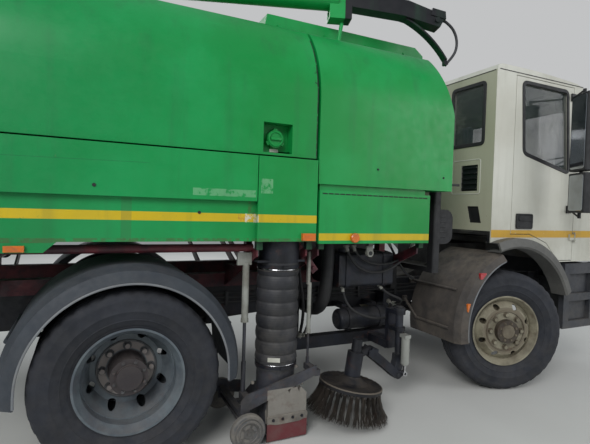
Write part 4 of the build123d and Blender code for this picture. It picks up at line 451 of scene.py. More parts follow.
node_finishes = {node: make(node + "_finish") for node, make in {
    "rear_wheels_right": rear_wheel,
    "rear_wheels_left": rear_wheel,
    "front_wheel_right": front_wheel,
    "front_wheel_left": front_wheel,
    "cab_shell": cab_paint(
        # Painted shade: the cab's rear wall above the stripe is painted darker and greener than the cab's
        # white.
        (box_zone((CAB_REAR - 0.03, -1.047, 1.3495), (CAB_REAR + 0.0004, 1.047, 2.80)), srgb("9e9e84")),
        black_box((CAB_REAR - 0.01, -0.884, 1.695), (CAB_REAR + 0.03, -0.696, 1.925), skin=CAB_REAR),
        black_box((CAB_REAR - 0.01, -0.941, 1.415), (CAB_REAR + 0.03, -0.784, 1.560), skin=CAB_REAR),
        black_box((CAB_FRONT - 0.03, -0.62, 1.24), (CAB_FRONT - 0.0004, 0.62, 1.484)),
        black_box((CAB_REAR - 0.03, -1.04, 0.9), (CAB_FRONT - 0.05, 1.04, 1.3495))),
    "door_right": door,
    "door_left": door,
    "boom": worn_paint(GREEN_PAINT, layers=[(past_boom(2.69), BLACK_PAINT)]),
    "side_panels": green_body([(inboard_and_below(1.1405, 1.2785), BLACK_PAINT)], SIDE_MARKS_AND_SHEEN),
    "side_flap_right": green_body(marks_and_sheen=FLAP_MARKS_AND_SHEEN),
    "hopper_shell": green_body(marks_and_sheen=SHELL_MARKS),
    "side_brush": greasy_metal(BRUSH_WIRE, metal=0.3, caking=0.2, layers=[
        (across_tilt(DISC_LOW - 0.001, 0.30), BLACK_PAINT),
        (across_tilt(DISC_TOP - 0.006, DISC_TOP + 0.002), srgb("70685e"))]),
    "nozzle": greasy_metal("3e4048 2c2d32 68625c", layers=[
        (box_zone((0.812, -1.30, 0.1195), (1.098, -1.1290, 0.340)), srgb("848079")),
        (outboard_right(-1.1535, 0.0, 0.1205), srgb("683034"))]),
    "brush_pivot": greasy_metal("30343e 1c1e24 5c5852", layers=[
        (outboard_right(-0.985, 0.305, 0.552), srgb("969892"))]),
    "front_mudguards": moulded("363332 4a4541 6e655a", rough=0.7, dust_amount=0.55),
}.items()}
slot_of = {entry["node"]: entry["material_slot"] for entry in frame["record"]["subparts"]}
for node, obj in frame["nodes"].items():
    obj.data.materials.clear()
    obj.data.materials.append(node_finishes.get(node, materials[slot_of[node]]))


# Mesh helpers

NO_TURN = Matrix.Identity(4)


def new_object(name, data):
    obj = bpy.data.objects.new(name, data)
    bpy.context.collection.objects.link(obj)
    return obj


def evaluated(obj):
    return obj.evaluated_get(bpy.context.evaluated_depsgraph_get())


def new_piece(name, mesh_data, body, slot, material=None, smooth=True):
    """Object in the row frame that rides on a body and takes the given finish, else the finish of the named
    record slot.
    """
    data = mesh_data
    if isinstance(mesh_data, bmesh.types.BMesh):
        data = bpy.data.meshes.new(name)
        bmesh.ops.recalc_face_normals(mesh_data, faces=mesh_data.faces)
        mesh_data.to_mesh(data)
        mesh_data.free()
    obj = new_object(name, data)
    data.materials.append(material or materials[slot])
    if smooth:
        for polygon in data.polygons:
            polygon.use_smooth = True
        data.set_sharp_from_angle(angle=math.radians(38))
    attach(obj, body)
    return obj


def move(bm, matrix):
    bmesh.ops.transform(bm, matrix=matrix, verts=bm.verts)
    return bm


def turned(degrees, axis):
    return Matrix.Rotation(math.radians(degrees), 4, axis)


# Free hydraulic hose at the boom's tip, through the same route as its solid

HOSE_LOOP_ROUTE = [(3.460, 2.925), (3.513, 2.893), (3.554, 2.827), (3.566, 2.749),
                   (3.543, 2.674), (3.492, 2.618)]
HOSE_LOOP_DIAMETER = 0.020


def along_boom(s, z):
    return at(SLEW_X + s * math.cos(BOOM_HEADING), s * math.sin(BOOM_HEADING), z)


def round_curve(name, points, radius, bevel, order, steps):
    """Curve with a round section along control points."""
    curve = bpy.data.curves.new(name, "CURVE")
    curve.dimensions = "3D"
    curve.bevel_depth = radius
    curve.bevel_resolution = bevel
    spline = curve.splines.new("NURBS")
    spline.points.add(len(points) - 1)
    for spot, point in zip(spline.points, points):
        spot.co = (*point, 1)
    spline.order_u = order
    spline.use_endpoint_u = True
    spline.resolution_u = steps
    return curve


loop_curve = round_curve("hose_loop_line", [along_boom(s, z) for s, z in HOSE_LOOP_ROUTE],
                         HOSE_LOOP_DIAMETER / 2, 5, 3, 16)
hose_loop = new_piece("boom_tip_hose", loop_curve, "boom", "hose_rubber", smooth=False)
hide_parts("hose_loop")


def revolve_y(profile, segments):
    """Closed mesh from (radius, y) points turned about the y axis."""
    bm = bmesh.new()
    rings = []
    for index in range(segments):
        angle = 2 * math.pi * index / segments
        rings.append([bm.verts.new((radius * math.cos(angle), y, radius * math.sin(angle)))
                      for radius, y in profile])
    for here, there in zip(rings, rings[1:] + rings[:1]):
        for k in range(len(profile)):
            k2 = (k + 1) % len(profile)
            bm.faces.new((here[k], there[k], there[k2], here[k2]))
    return bm


def revolve_z(profile, segments, centre=(0, 0, 0)):
    """Closed mesh from (radius, z) points turned about the z axis through centre."""
    bm = revolve_y([(radius, -z) for radius, z in profile], segments)
    return move(bm, Matrix.Translation(centre) @ turned(-90, "X"))


def add_skin(bm, rings, closed=False):
    """Adds quads between each ring of vertices and the next."""
    for here, there in zip(rings, rings[1:] + (rings[:1] if closed else [])):
        for k in range(len(here)):
            k2 = (k + 1) % len(here)
            bm.faces.new((here[k], here[k2], there[k2], there[k]))


def add_block(bm, low, high, place=None, bevel=0.0):
    """Adds a bevelled block between two corners."""
    made = bmesh.ops.create_cube(bm, size=1.0)["verts"]
    size = [b - a for a, b in zip(low, high)]
    centre = [(a + b) / 2 for a, b in zip(low, high)]
    matrix = Matrix.Translation(centre) @ Matrix.Diagonal((*size, 1))
    if place is not None:
        matrix = place @ matrix
    bmesh.ops.transform(bm, matrix=matrix, verts=made)
    if bevel:
        edges = {edge for vert in made for edge in vert.link_edges}
        bmesh.ops.bevel(bm, geom=list(edges), offset=bevel, segments=2, affect="EDGES",
                        profile=0.6)


def add_part(bm, part):
    """Adds another mesh and frees it."""
    spare = bpy.data.meshes.new("part")
    part.to_mesh(spare)
    part.free()
    bm.from_mesh(spare)
    bpy.data.meshes.remove(spare)


def add_rod(bm, start, end, radius, sides=16, tip_radius=None):
    """Adds a closed round bar between two points."""
    start, end = Vector(start), Vector(end)
    way = end - start
    matrix = Matrix.Translation((start + end) / 2) @ way.to_track_quat("Z", "Y").to_matrix().to_4x4()
    bmesh.ops.create_cone(bm, cap_ends=True, segments=sides, radius1=radius,
                          radius2=radius if tip_radius is None else tip_radius,
                          depth=way.length, matrix=matrix)


def add_pipe(bm, points, radius, sides=10, steps=8):
    """Adds a smooth closed pipe through control points."""
    line = round_curve("pipe_line", points, radius, max(1, sides // 4), min(4, len(points)), steps)
    line.use_fill_caps = True
    holder = new_object("pipe_line", line)
    bpy.context.view_layer.update()
    mesh = bpy.data.meshes.new_from_object(evaluated(holder))
    bm.from_mesh(mesh)
    bpy.data.objects.remove(holder)
    bpy.data.curves.remove(line)
    bpy.data.meshes.remove(mesh)


# Tyres: moulded sidewall with rings, grooved tread with cross cuts at the shoulders

TYRE_R = 0.505
TYRE_W = 0.255
BEAD_R = 0.2865
FRONT_TYRE_OFFSET = 0.196
REAR_OUTER_Y = 1.052
TWIN_SPACING = 0.310


def tyre_section():
    """Half section from the bead over the sidewall to the tread's middle, (radius, y)."""
    half = TYRE_W / 2
    side = [(BEAD_R, 0.0640), (BEAD_R, 0.0835), (0.296, 0.0885), (0.309, 0.0905), (0.312, 0.094),
            (0.318, 0.0985), (0.332, 0.1075), (0.345, 0.1140), (0.347, 0.1165), (0.350, 0.1168),
            (0.352, 0.1155), (0.372, 0.1220), (0.392, half - 0.0015), (0.395, half + 0.0008),
            (0.399, half + 0.0008), (0.402, half - 0.001), (0.428, half - 0.0012), (0.447, half - 0.0040),
            (0.452, half - 0.0030), (0.458, half - 0.0040), (0.470, half - 0.0085),
            (0.484, half - 0.0170), (0.4945, half - 0.0270), (0.5005, half - 0.0380)]
    grooves = []
    y = half - 0.045
    for centre in (0.0615, 0.0215):
        grooves += [(0.5030, y), (0.5040, centre + 0.0065), (0.4920, centre + 0.0045),
                    (0.4920, centre - 0.0045), (0.5048, centre - 0.0065)]
        y = centre - 0.012
    return side + grooves + [(TYRE_R, 0.0)]


def tyre_profile():
    half = tyre_section()
    inner = [(0.311, 0.060), (0.380, 0.0975), (0.470, 0.078), (0.473, 0.0)]
    outer = half + [(r, -y) for r, y in reversed(half[:-1])]
    lining = [(r, -y) for r, y in inner[:-1]] + [(r, y) for r, y in reversed(inner)]
    return outer + lining


def tyre_mesh(centre, turn=NO_TURN):
    bm = revolve_y(tyre_profile(), 120)
    shoulder = TYRE_W / 2 - 0.030
    for vert in bm.verts:
        radius = math.hypot(vert.co.x, vert.co.z)
        if radius > 0.4935 and abs(vert.co.y) > shoulder - 0.02:
            index = round(math.atan2(vert.co.z, vert.co.x) / (2 * math.pi) * 120)
            if index % 3 == 0:
                cut = 1 - 0.0085 / radius
                vert.co.x *= cut
                vert.co.z *= cut
    return move(bm, Matrix.Translation(centre) @ turn)


def front_centre(side, offset=FRONT_TYRE_OFFSET):
    """Point on the steered wheel's axis, offset outward from the kingpin."""
    cos, sin = math.cos(STEER_REST), math.sin(STEER_REST)
    y = side * offset
    return at(WHEELBASE - y * sin, side * KINGPIN_Y + y * cos, AXLE_Z)


STEER_TURN = Matrix.Rotation(STEER_REST, 4, "Z")
for word, side in SIDES.items():
    piece = new_piece(f"front_tyre_{word}_moulded", tyre_mesh(front_centre(side), STEER_TURN),
                      f"front_wheel_{word}", "tyre")
    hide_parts(f"front_tyre_{word}")
    twin = bmesh.new()
    for distance in (REAR_OUTER_Y, REAR_OUTER_Y - TWIN_SPACING):
        add_part(twin, tyre_mesh(at(0, side * distance, AXLE_Z)))
    piece = new_piece(f"rear_tyres_{word}_moulded", twin, f"rear_wheels_{word}", "tyre")
    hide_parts(f"rear_tyres_{word}")


# Suction hose: ribbed rubber with a steel band at each end

HOSE_X, HOSE_Y = 0.930, -1.000
HOSE_TOP, HOSE_BOTTOM = 1.135, 0.435


def hose_profile():
    """Soft wide ribs with a fine wire spiral, from the bottom to the top, then the bore, (radius, z)."""
    low, high = HOSE_BOTTOM + 0.062, HOSE_TOP - 0.050
    steps = 150
    points = [(0.1345, HOSE_BOTTOM), (0.1345, low)]
    for index in range(1, steps):
        z = low + (high - low) * index / steps
        share = abs(math.cos(math.pi * (z - low) / 0.085))
        thread = 0.0003 * math.cos(2 * math.pi * (z - low) / 0.0142)
        points.append((0.1315 + 0.0100 * share ** 0.6 + thread, z))
    points += [(0.1345, high), (0.1345, HOSE_TOP), (0.120, HOSE_TOP), (0.120, HOSE_BOTTOM)]
    return points


ribbed = new_piece("suction_hose_ribbed", revolve_z(hose_profile(), 64, at(HOSE_X, HOSE_Y, 0)),
                   "chassis", "hose_rubber")
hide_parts("suction_hose")

bands = bmesh.new()
for low, high in ((HOSE_BOTTOM + 0.012, HOSE_BOTTOM + 0.034), (HOSE_TOP - 0.036, HOSE_TOP - 0.014)):
    add_part(bands, revolve_z([(0.1346, low), (0.1395, low + 0.002), (0.1395, high - 0.002),
                               (0.1346, high)], 72))
    add_block(bands, (-0.028, -0.150, low + 0.003), (0.028, -0.138, high - 0.003), bevel=0.002)
wires = bmesh.new()
for level in (HOSE_BOTTOM + 0.040, HOSE_TOP - 0.042):
    ring = [(0.1380 + 0.0026 * math.cos(math.radians(a)), level + 0.0026 * math.sin(math.radians(a)))
            for a in range(0, 360, 45)]
    add_part(wires, revolve_z(ring, 72))
tag = bmesh.new()
add_block(tag, (-0.040, -0.1425, HOSE_BOTTOM + 0.066), (0.040, -0.1385, HOSE_BOTTOM + 0.094),
          turned(-28, "Z"), bevel=0.001)
hose_pieces = [ribbed]
for name, part, slot in (("hose_bands", bands, "dark_steel"), ("hose_wires", wires, "chrome"),
                         ("hose_tag", tag, "cab_white")):
    move(part, Matrix.Translation(at(HOSE_X, HOSE_Y, 0)))
    hose_pieces.append(new_piece(name, part, "chassis", slot))
for piece in hose_pieces:
    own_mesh(piece)


# Side brush: steel wire tufts under the disc

BRUSH_CENTRE = at(BRUSH_X, -1.070, BRUSH_FOOT_Z)
BRUSH_PLACE = Matrix.Translation(BRUSH_CENTRE) @ Matrix.Rotation(BRUSH_TILT, 4, "Y")
TUFTS = 30
WIRES_IN_TUFT = 40
SOCKET_CIRCLE_R = 0.206


def bristle_mesh():
    """Wires that spread and bend outward from the disc down to the floor."""
    bm = bmesh.new()
    corners = [2 * math.pi * k / 3 for k in range(3)]
    for tuft in range(TUFTS):
        for wire in range(WIRES_IN_TUFT):
            angle = 2 * math.pi * tuft / TUFTS + random.uniform(-0.055, 0.055)
            top_r = SOCKET_CIRCLE_R + random.uniform(-0.012, 0.010)
            foot_r = 0.268 + random.uniform(-0.042, 0.033)
            sway = random.uniform(-0.075, 0.075)
            length = random.uniform(0.0, 0.014)
            rings = []
            for step in range(5):
                t = step / 4
                radius = top_r + (foot_r - top_r) * t ** 1.6
                spin = angle + sway * t * t
                z = (DISC_LOW + 0.002) * (1 - t) + length * t
                centre = Vector((radius * math.cos(spin), radius * math.sin(spin), z))
                thick = 0.0021 * (1 - 0.35 * t)
                rings.append([bm.verts.new(centre + Vector((math.cos(a) * thick, math.sin(a) * thick, 0)))
                              for a in corners])
            add_skin(bm, rings)
            bm.faces.new(rings[0])
            bm.faces.new(rings[-1])
    return bm


def brush_head(bm):
    """Disc with its rim, socket ring and hub cone, as the solid has them."""
    profile = [(0.225, DISC_LOW), (0.225, DISC_TOP), (0.215, DISC_TOP + 0.003),
               (0.120, DISC_TOP + 0.003), (0.100, DISC_TOP + 0.012), (0.062, MOTOR_Z - 0.008),
               (0.060, MOTOR_Z - 0.003), (0.019, MOTOR_Z - 0.003), (0.019, DISC_LOW)]
    add_part(bm, revolve_z(profile, 72))
    for tuft in range(TUFTS):
        angle = 2 * math.pi * tuft / TUFTS
        socket = Vector((math.cos(angle), math.sin(angle), 0)) * SOCKET_CIRCLE_R
        add_rod(bm, socket + Vector((0, 0, DISC_LOW - 0.014)), socket + Vector((0, 0, DISC_TOP + 0.0042)),
                0.014, 10)
    return bm


brush = new_piece("side_brush_wires", move(brush_head(bristle_mesh()), BRUSH_PLACE), "side_brush",
                  "bristle_steel", node_finishes["side_brush"], smooth=False)
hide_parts("side_brush")


# Trim: seals, plates, bolts and other small hardware


def wall(origin, outward):
    """Placement on a surface: x runs along it, y climbs it, z points out of it."""
    outward = Vector(outward).normalized()
    along = Vector((0, 0, 1)).cross(outward).normalized()
    turn = Matrix((along, outward.cross(along), outward)).transposed().to_4x4()
    return Matrix.Translation(origin) @ turn


def rounded_loop(points, radius, steps=6):
    """Closed counter-clockwise 2-D loop with each corner replaced by a smooth bend."""
    count = len(points)
    area = sum(points[i - 1][0] * points[i][1] - points[i][0] * points[i - 1][1] for i in range(count))
    corners = [Vector(point) for point in (points if area > 0 else reversed(points))]
    out = []
    for index, corner in enumerate(corners):
        before, after = corners[index - 1], corners[(index + 1) % count]
        reach = min(radius, (before - corner).length * 0.45, (after - corner).length * 0.45)
        start = corner + (before - corner).normalized() * reach
        end = corner + (after - corner).normalized() * reach
        for step in range(steps + 1):
            t = step / steps
            out.append((1 - t) ** 2 * start + 2 * t * (1 - t) * corner + t * t * end)
    return out


def inset_loop(loop, distance):
    """Loop moved inward, square to its own run."""
    out = []
    for index, point in enumerate(loop):
        way = loop[(index + 1) % len(loop)] - loop[index - 1]
        out.append(point + Vector((-way.y, way.x)).normalized() * distance)
    return out


def add_loops(bm, loop, levels, place, closed):
    """Adds a skin through copies of the loop at (inset, height) levels."""
    rings = [[bm.verts.new(place @ Vector((p.x, p.y, height))) for p in inset_loop(loop, inset)]
             for inset, height in levels]
    if not closed:
        bm.faces.new(rings[-1])
        bm.faces.new(rings[0])
    add_skin(bm, rings, closed)


def add_ring(bm, loop, width, low, high, place):
    """Adds a seal or frame: a band inside the loop, rounded on top."""
    edge = min(0.003, width / 4)
    add_loops(bm, loop, [(0, low), (0, high - edge), (edge, high), (width - edge, high),
                         (width, high - edge), (width, low)], place, True)


def add_plate(bm, loop, low, high, place, edge=0.002):
    """Adds a plate with a rounded edge."""
    add_loops(bm, loop, [(0, low), (0, high - edge), (edge, high)], place, False)


def add_bolt(bm, place, size, height=0.62):
    """Adds a washer and a hexagon head along the placement's z."""
    add_stud(bm, place, 0, 0, -0.001, size * 0.10, size * 0.72, 14)
    add_stud(bm, place, 0, 0, 0, size * height, size * 0.56, 6, size * 0.53)


def add_stud(bm, place, x, y, low, high, radius, sides, tip_radius=None):
    """Adds a round bar that stands square on a placement's surface."""
    add_rod(bm, place @ Vector((x, y, low)), place @ Vector((x, y, high)), radius, sides, tip_radius)


def rectangle(x0, x1, y0, y1, bend):
    return rounded_loop([(x0, y0), (x1, y0), (x1, y1), (x0, y1)], bend)


def pad(half_width, half_height, bend):
    return rectangle(-half_width, half_width, -half_height, half_height, bend)


def disc(radius, count, bend=0.004):
    turns = [2 * math.pi * k / count for k in range(count)]
    return rounded_loop([(radius * math.cos(turn), radius * math.sin(turn)) for turn in turns], bend, 2)


def side_wall(x, y, z, side=-1):
    """Placement on a side wall that stands y out from the middle."""
    return wall(at(x, side * y, z), (0, side, 0))


def end_wall(x, y, z, way=1):
    """Placement on a wall that faces the nose, or the tail with way -1."""
    return wall(at(x, y, z), (way, 0, 0))


# Wheels: nuts around the studs, smaller bolts on the hub's face

STUD_R = 0.1375


def wheel_hardware(centre, side, nut_face, hub_face, hub_bolt_r, turn=NO_TURN):
    bm = bmesh.new()
    for index in range(8):
        angle = 2 * math.pi * index / 8
        for radius, y, turned_on, size in ((STUD_R, nut_face, 0, 0.036),
                                           (hub_bolt_r, hub_face, math.pi / 8, 0.015)):
            spot = (radius * math.cos(angle + turned_on), side * y, radius * math.sin(angle + turned_on))
            add_bolt(bm, wall(spot, (0, side, 0)), size)
    add_rod(bm, (0, side * (hub_face - 0.002), 0), (0, side * (hub_face + 0.006), 0),
            hub_bolt_r - 0.014, 40, hub_bolt_r - 0.020)
    add_ring(bm, disc(0.172, 60), 0.010, -0.001, 0.010, wall((0, side * nut_face, 0), (0, side, 0)))
    return move(bm, Matrix.Translation(centre) @ turn)


for word, side in SIDES.items():
    nuts = wheel_hardware(at(0, 0, AXLE_Z), side, nut_face=0.910, hub_face=1.072, hub_bolt_r=0.087)
    new_piece(f"rear_wheel_nuts_{word}", nuts, f"rear_wheels_{word}", "wheel_grey")
    nuts = wheel_hardware(front_centre(side), side, nut_face=0.091, hub_face=0.134, hub_bolt_r=0.074,
                          turn=STEER_TURN)
    new_piece(f"front_wheel_nuts_{word}", nuts, f"front_wheel_{word}", "wheel_beige")


# Cab: window seals, drip seam, panel lines, wipers

SCREEN_LEAN = math.atan2(0.260, 0.635)
SCREEN_OUT = Vector((math.cos(SCREEN_LEAN), 0, math.sin(SCREEN_LEAN)))
SCREEN_UP = Vector((-math.sin(SCREEN_LEAN), 0, math.cos(SCREEN_LEAN)))
SCREEN_PLACE = wall(at(CAB_FRONT, 0, 1.990) + SCREEN_UP * 0.33, SCREEN_OUT)
DOOR_WINDOW = [(3.174, 2.646), (3.771, 2.644), (3.825, 1.901), (3.213, 2.037)]

seals = bmesh.new()
for side in (-1, 1):
    add_ring(seals, pad(0.198, 0.278, 0.050), 0.032, -0.002, 0.008,
             end_wall(CAB_REAR, side * 0.749, 2.365, -1))
    add_block(seals, at(CAB_REAR + 0.03, side * CAB_SIDE - 0.003, 2.713),
              at(CAB_REAR + 1.14, side * CAB_SIDE + 0.003, 2.719))
add_block(seals, at(CAB_REAR - 0.003, -1.035, 2.703), at(CAB_REAR + 0.003, 1.035, 2.709))
add_ring(seals, pad(0.940, 0.310, 0.060), 0.034, -0.002, 0.009, SCREEN_PLACE)
add_ring(seals, rectangle(-0.96, 0.96, -0.24, 0.41, 0.030), 0.005, -0.001, 0.0015,
         end_wall(CAB_FRONT, 0, 1.54))
new_piece("cab_seals", seals, "cab", "black_plastic")

lines = bmesh.new()
add_ring(lines, rectangle(-0.165, 0.165, -0.185, 0.125, 0.030), 0.008, -0.001, 0.004,
         end_wall(CAB_REAR, -0.752, 1.850, -1))
for y, z in ((-0.20, 1.45), (0.20, 1.45), (-0.20, 1.90), (0.20, 1.90)):
    add_bolt(lines, end_wall(CAB_REAR, y, z, -1), 0.016)
new_piece("cab_panel_lines", lines, "cab", "cab_white")

wipers = bmesh.new()
for y in (-0.42, 0.36):
    foot, elbow, tip, blade_start, blade_end = (SCREEN_PLACE @ Vector(point) for point in (
        (y, -0.345, 0.004), (y, -0.335, 0.034), (y - 0.34, -0.195, 0.026), (y - 0.60, -0.185, 0.017),
        (y - 0.06, -0.205, 0.017)))
    add_rod(wipers, foot, elbow, 0.014, 14, 0.011)
    add_rod(wipers, elbow, tip, 0.0075, 8, 0.005)
    add_rod(wipers, blade_start, blade_end, 0.0065, 6)
new_piece("wipers", wipers, "cab", "black_plastic")


# Doors: window seal, handle, keyhole and mirror glass

DOOR_X = 3.5
MIRROR_POLE_X = WHEELBASE + 0.530
for word, side in SIDES.items():
    place = side_wall(DOOR_X, CAB_SIDE, 0, side)
    outline = [(-side * (x - DOOR_X), z) for x, z in DOOR_WINDOW]
    seal = bmesh.new()
    add_ring(seal, inset_loop(rounded_loop(outline, 0.045), -0.018), 0.032, -0.002, 0.007, place)
    add_block(seal, at(3.190, side * CAB_SIDE - side * 0.028, 2.10),
              at(3.196, side * CAB_SIDE - side * 0.026, 2.60))
    x0, x1 = sorted((-side * (3.144 - DOOR_X), -side * (3.352 - DOOR_X)))
    recess = rectangle(x0, x1, 1.374, 1.507, 0.022)
    add_plate(seal, recess, -0.001, 0.0115, place)
    add_ring(seal, recess, 0.012, 0.0105, 0.0155, place)
    add_plate(seal, rectangle(x0 + 0.026, x1 - 0.026, 1.442, 1.488, 0.012), 0.011, 0.020, place, 0.004)
    add_stud(seal, place, x0 + 0.040, 1.402, 0.010, 0.014, 0.010, 20)
    new_piece(f"door_trim_{word}", seal, f"door_{word}", "black_plastic")
    rear_face = (-0.8997, -side * 0.4363, 0)
    silver = bmesh.new()
    for z, half in ((2.215, 0.312), (1.699, 0.154)):
        add_plate(silver, pad(0.096, half, 0.020), -0.001, 0.003,
                  wall(at(MIRROR_POLE_X - 0.0775, side * 1.300, z), rear_face))
    new_piece(f"mirror_glass_{word}", silver, f"door_{word}", "chrome", materials["mirror_silver"])


# Front: blank plate and lamp rims; reflectors on the mudguards and the side wall

front = bmesh.new()
add_plate(front, pad(0.26, 0.055, 0.010), -0.001, 0.004, end_wall(WHEELBASE + 1.315, 0, 0.575))
new_piece("blank_plate", front, "chassis", "cab_white")
rims = bmesh.new()
for side in (-1, 1):
    place = end_wall(WHEELBASE + 1.311, side * 0.730, 0.780)
    add_ring(rims, pad(0.158, 0.068, 0.024), 0.006, -0.001, 0.004, place)
    for offset in (-0.075, 0.075):
        add_stud(rims, place, offset, 0, -0.010, 0.003, 0.054, 32, 0.050)
new_piece("headlamp_rims", rims, "chassis", "lamp_lens")

reflectors = bmesh.new()
warnings = bmesh.new()
for side in (-1, 1):
    add_plate(reflectors, pad(0.024, 0.034, 0.008), -0.004, 0.016, side_wall(2.560, 1.112, 0.735, side))
    add_plate(warnings, pad(0.034, 0.026, 0.008), -0.004, 0.016, side_wall(2.700, 1.112, 0.985, side))
    add_plate(reflectors, disc(0.033, 16, 0.008), -0.001, 0.0255, side_wall(1.400, 1.185, 1.304, side),
              0.005)
new_piece("side_reflectors", reflectors, "chassis", "lamp_lens")
new_piece("red_reflectors", warnings, "chassis", "lamp_lens", lens("b2222c")("red_lens"))


# Hopper: filler cap with a ring and lugs, blank label. Side panels: plugs, hinge line, edge clip

CAP_X, CAP_Z, CAP_FACE = 0.8355, 1.9225, 1.120
cap = bmesh.new()
place = side_wall(CAP_X, CAP_FACE, CAP_Z)
add_ring(cap, disc(0.050, 30), 0.012, -0.001, 0.007, place)
for angle in (90, 210, 330):
    add_block(cap, (0.046, -0.013, -0.034), (0.066, 0.013, -0.004), place @ turned(angle, "Z"),
              bevel=0.003)
add_block(cap, (-0.036, -0.009, 0), (0.036, 0.009, 0.014), place, bevel=0.004)
new_piece("filler_cap_trim", cap, "hopper", "green_paint")
label = bmesh.new()
add_plate(label, pad(0.030, 0.010, 0.004), -0.001, 0.0015, side_wall(CAP_X + 0.005, 1.078, 1.853), 0.0006)
new_piece("blank_label", label, "hopper", "cab_white")

for word, side in SIDES.items():
    plugs = bmesh.new()
    add_stud(plugs, side_wall(-0.201, 1.185, 1.579, side), 0, 0, -0.001, 0.004, 0.010, 20, 0.009)
    new_piece(f"flap_latches_{word}", plugs, f"side_flap_{word}", "black_plastic")

seam = bmesh.new()
for side in (-1, 1):
    x = 1.150
    while x < 2.0:
        add_rod(seam, at(x, side * 1.186, 1.593), at(x + 0.034, side * 1.186, 1.593), 0.0035, 8)
        x += 0.044
    add_rod(seam, at(0.357, side * 1.149, 1.449), at(0.357, side * 1.154, 1.449), 0.009, 20)
add_block(seam, at(2.283, -1.125, 1.702), at(2.400, -1.105, 1.720), bevel=0.004)
new_piece("panel_hinges", seam, "chassis", "black_plastic")


# Nozzle: riveted strip over the rubber flap; castors with tyre and hub rings

strip = bmesh.new()
place = side_wall(0.955, 1.158, 0.141)
add_plate(strip, rounded_loop([(-0.143, 0.029), (-0.143, -0.012), (-0.08, -0.030), (0.08, -0.030),
                               (0.143, -0.012), (0.143, 0.029)], 0.012), -0.001, 0.009, place)
strip_bolts = bmesh.new()
for x in (-0.10, -0.035, 0.035, 0.10):
    add_bolt(strip_bolts, place @ Matrix.Translation((x, 0.004, 0.009)), 0.014)
new_piece("nozzle_strip_bolts", strip_bolts, "nozzle", "dark_steel")
for x, z in ((0.845, 0.345), (1.065, 0.345), (1.02, 0.460), (0.72, 0.395)):
    add_bolt(strip, side_wall(x, 1.133, z), 0.016)
new_piece("nozzle_strip", strip, "nozzle", "nozzle_steel",
          greasy_metal("7e7971 58544f 8c8478", metal=0.1)("strip_steel"))

castor_low, castor_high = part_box("nozzle_wheels")
castor_x, castor_z = (castor_low.x + castor_high.x) / 2, (castor_low.z + castor_high.z) / 2
rings = bmesh.new()
for y, way in ((castor_low.y, -1), (castor_high.y, 1)):
    place = wall((castor_x, y, castor_z), (0, way, 0))
    add_ring(rings, disc(0.090, 36), 0.008, -0.001, 0.003, place)
    add_ring(rings, disc(0.068, 36), 0.014, -0.001, 0.004, place)
    add_plate(rings, disc(0.034, 24), -0.001, 0.004, place)
    add_bolt(rings, place @ Matrix.Translation((0, 0, 0.0035)), 0.022, 0.3)
    for k in range(5):
        turn = Matrix.Rotation(2 * math.pi * k / 5, 4, "Z")
        add_block(rings, (0.034, -0.006, -0.001), (0.054, 0.006, 0.003), place @ turn)
new_piece("castor_rings", rings, "nozzle_wheels", "nozzle_steel")


# Under the module: thick hose, hydraulic lines with ferrules, cables along the rail. Each route is
# given by points forward from the rear axle; the lines follow their radius.

THICK_HOSE = [(1.425, -0.80, 1.245), (1.425, -0.80, 1.05), (1.415, -0.80, 0.86), (1.40, -0.74, 0.72),
              (1.40, -0.60, 0.69), (1.40, -0.43, 0.70)]
LINES = [
    (0.011, [(1.53, -0.885, 1.225), (1.56, -0.90, 1.08), (1.78, -0.905, 0.965), (2.02, -0.90, 1.06),
             (2.17, -0.88, 1.225)]),
    (0.009, [(1.60, -0.880, 1.225), (1.62, -0.89, 1.12), (1.86, -0.895, 1.035), (2.08, -0.89, 1.12),
             (2.20, -0.87, 1.225)]),
    (0.010, [(1.56, -0.80, 0.905), (1.56, -0.83, 0.76), (1.72, -0.845, 0.66), (1.95, -0.84, 0.62),
             (2.10, -0.79, 0.66), (2.14, -0.62, 0.72)]),
    (0.010, [(1.90, -0.80, 0.905), (1.93, -0.85, 0.83), (2.08, -0.86, 0.80), (2.16, -0.80, 0.74),
             (2.17, -0.64, 0.70)]),
    (0.012, [(1.25, -0.62, 1.235), (1.22, -0.70, 1.05), (1.27, -0.74, 0.80), (1.30, -0.66, 0.62),
             (1.30, -0.60, 0.48)]),
    (0.009, [(1.30, -0.64, 1.235), (1.30, -0.74, 1.00), (1.33, -0.78, 0.78), (1.34, -0.68, 0.60),
             (1.33, -0.60, 0.48)]),
    (0.010, [(2.06, -0.70, 1.235), (2.12, -0.78, 1.04), (2.22, -0.80, 0.93), (2.34, -0.72, 0.92),
             (2.44, -0.55, 0.90)]),
    (0.008, [(0.62, -0.436, 0.80), (1.00, -0.438, 0.775), (1.60, -0.436, 0.80), (2.20, -0.438, 0.78),
             (2.60, -0.436, 0.80)]),
    (0.007, [(0.62, -0.436, 0.76), (1.20, -0.438, 0.745), (1.80, -0.436, 0.755), (2.60, -0.436, 0.76)]),
    (0.006, [(0.62, -0.434, 0.83), (1.40, -0.436, 0.82), (2.60, -0.434, 0.825)])]
THINNEST_WITH_FERRULES = 0.0085
hoses = bmesh.new()
add_pipe(hoses, [at(*point) for point in THICK_HOSE], 0.048, 20, 10)
fittings = bmesh.new()
for radius, points in LINES:
    route = [at(*point) for point in points]
    add_pipe(hoses, route, radius, 8, 8)
    if radius > THINNEST_WITH_FERRULES:
        for end, inner in ((route[0], route[1]), (route[-1], route[-2])):
            way = (inner - end).normalized()
            add_rod(fittings, end, end + way * 0.045, radius * 1.35, 12)
            add_rod(fittings, end - way * 0.004, end + way * 0.014, radius * 1.9, 6)
for x in (0.75, 1.15, 1.55, 1.95, 2.35):
    add_block(hoses, at(x - 0.012, -0.448, 0.735), at(x + 0.012, -0.424, 0.842), bevel=0.002)
add_rod(hoses, at(1.585, -1.124, 1.190), at(1.585, -1.119, 1.190), 0.015, 16)
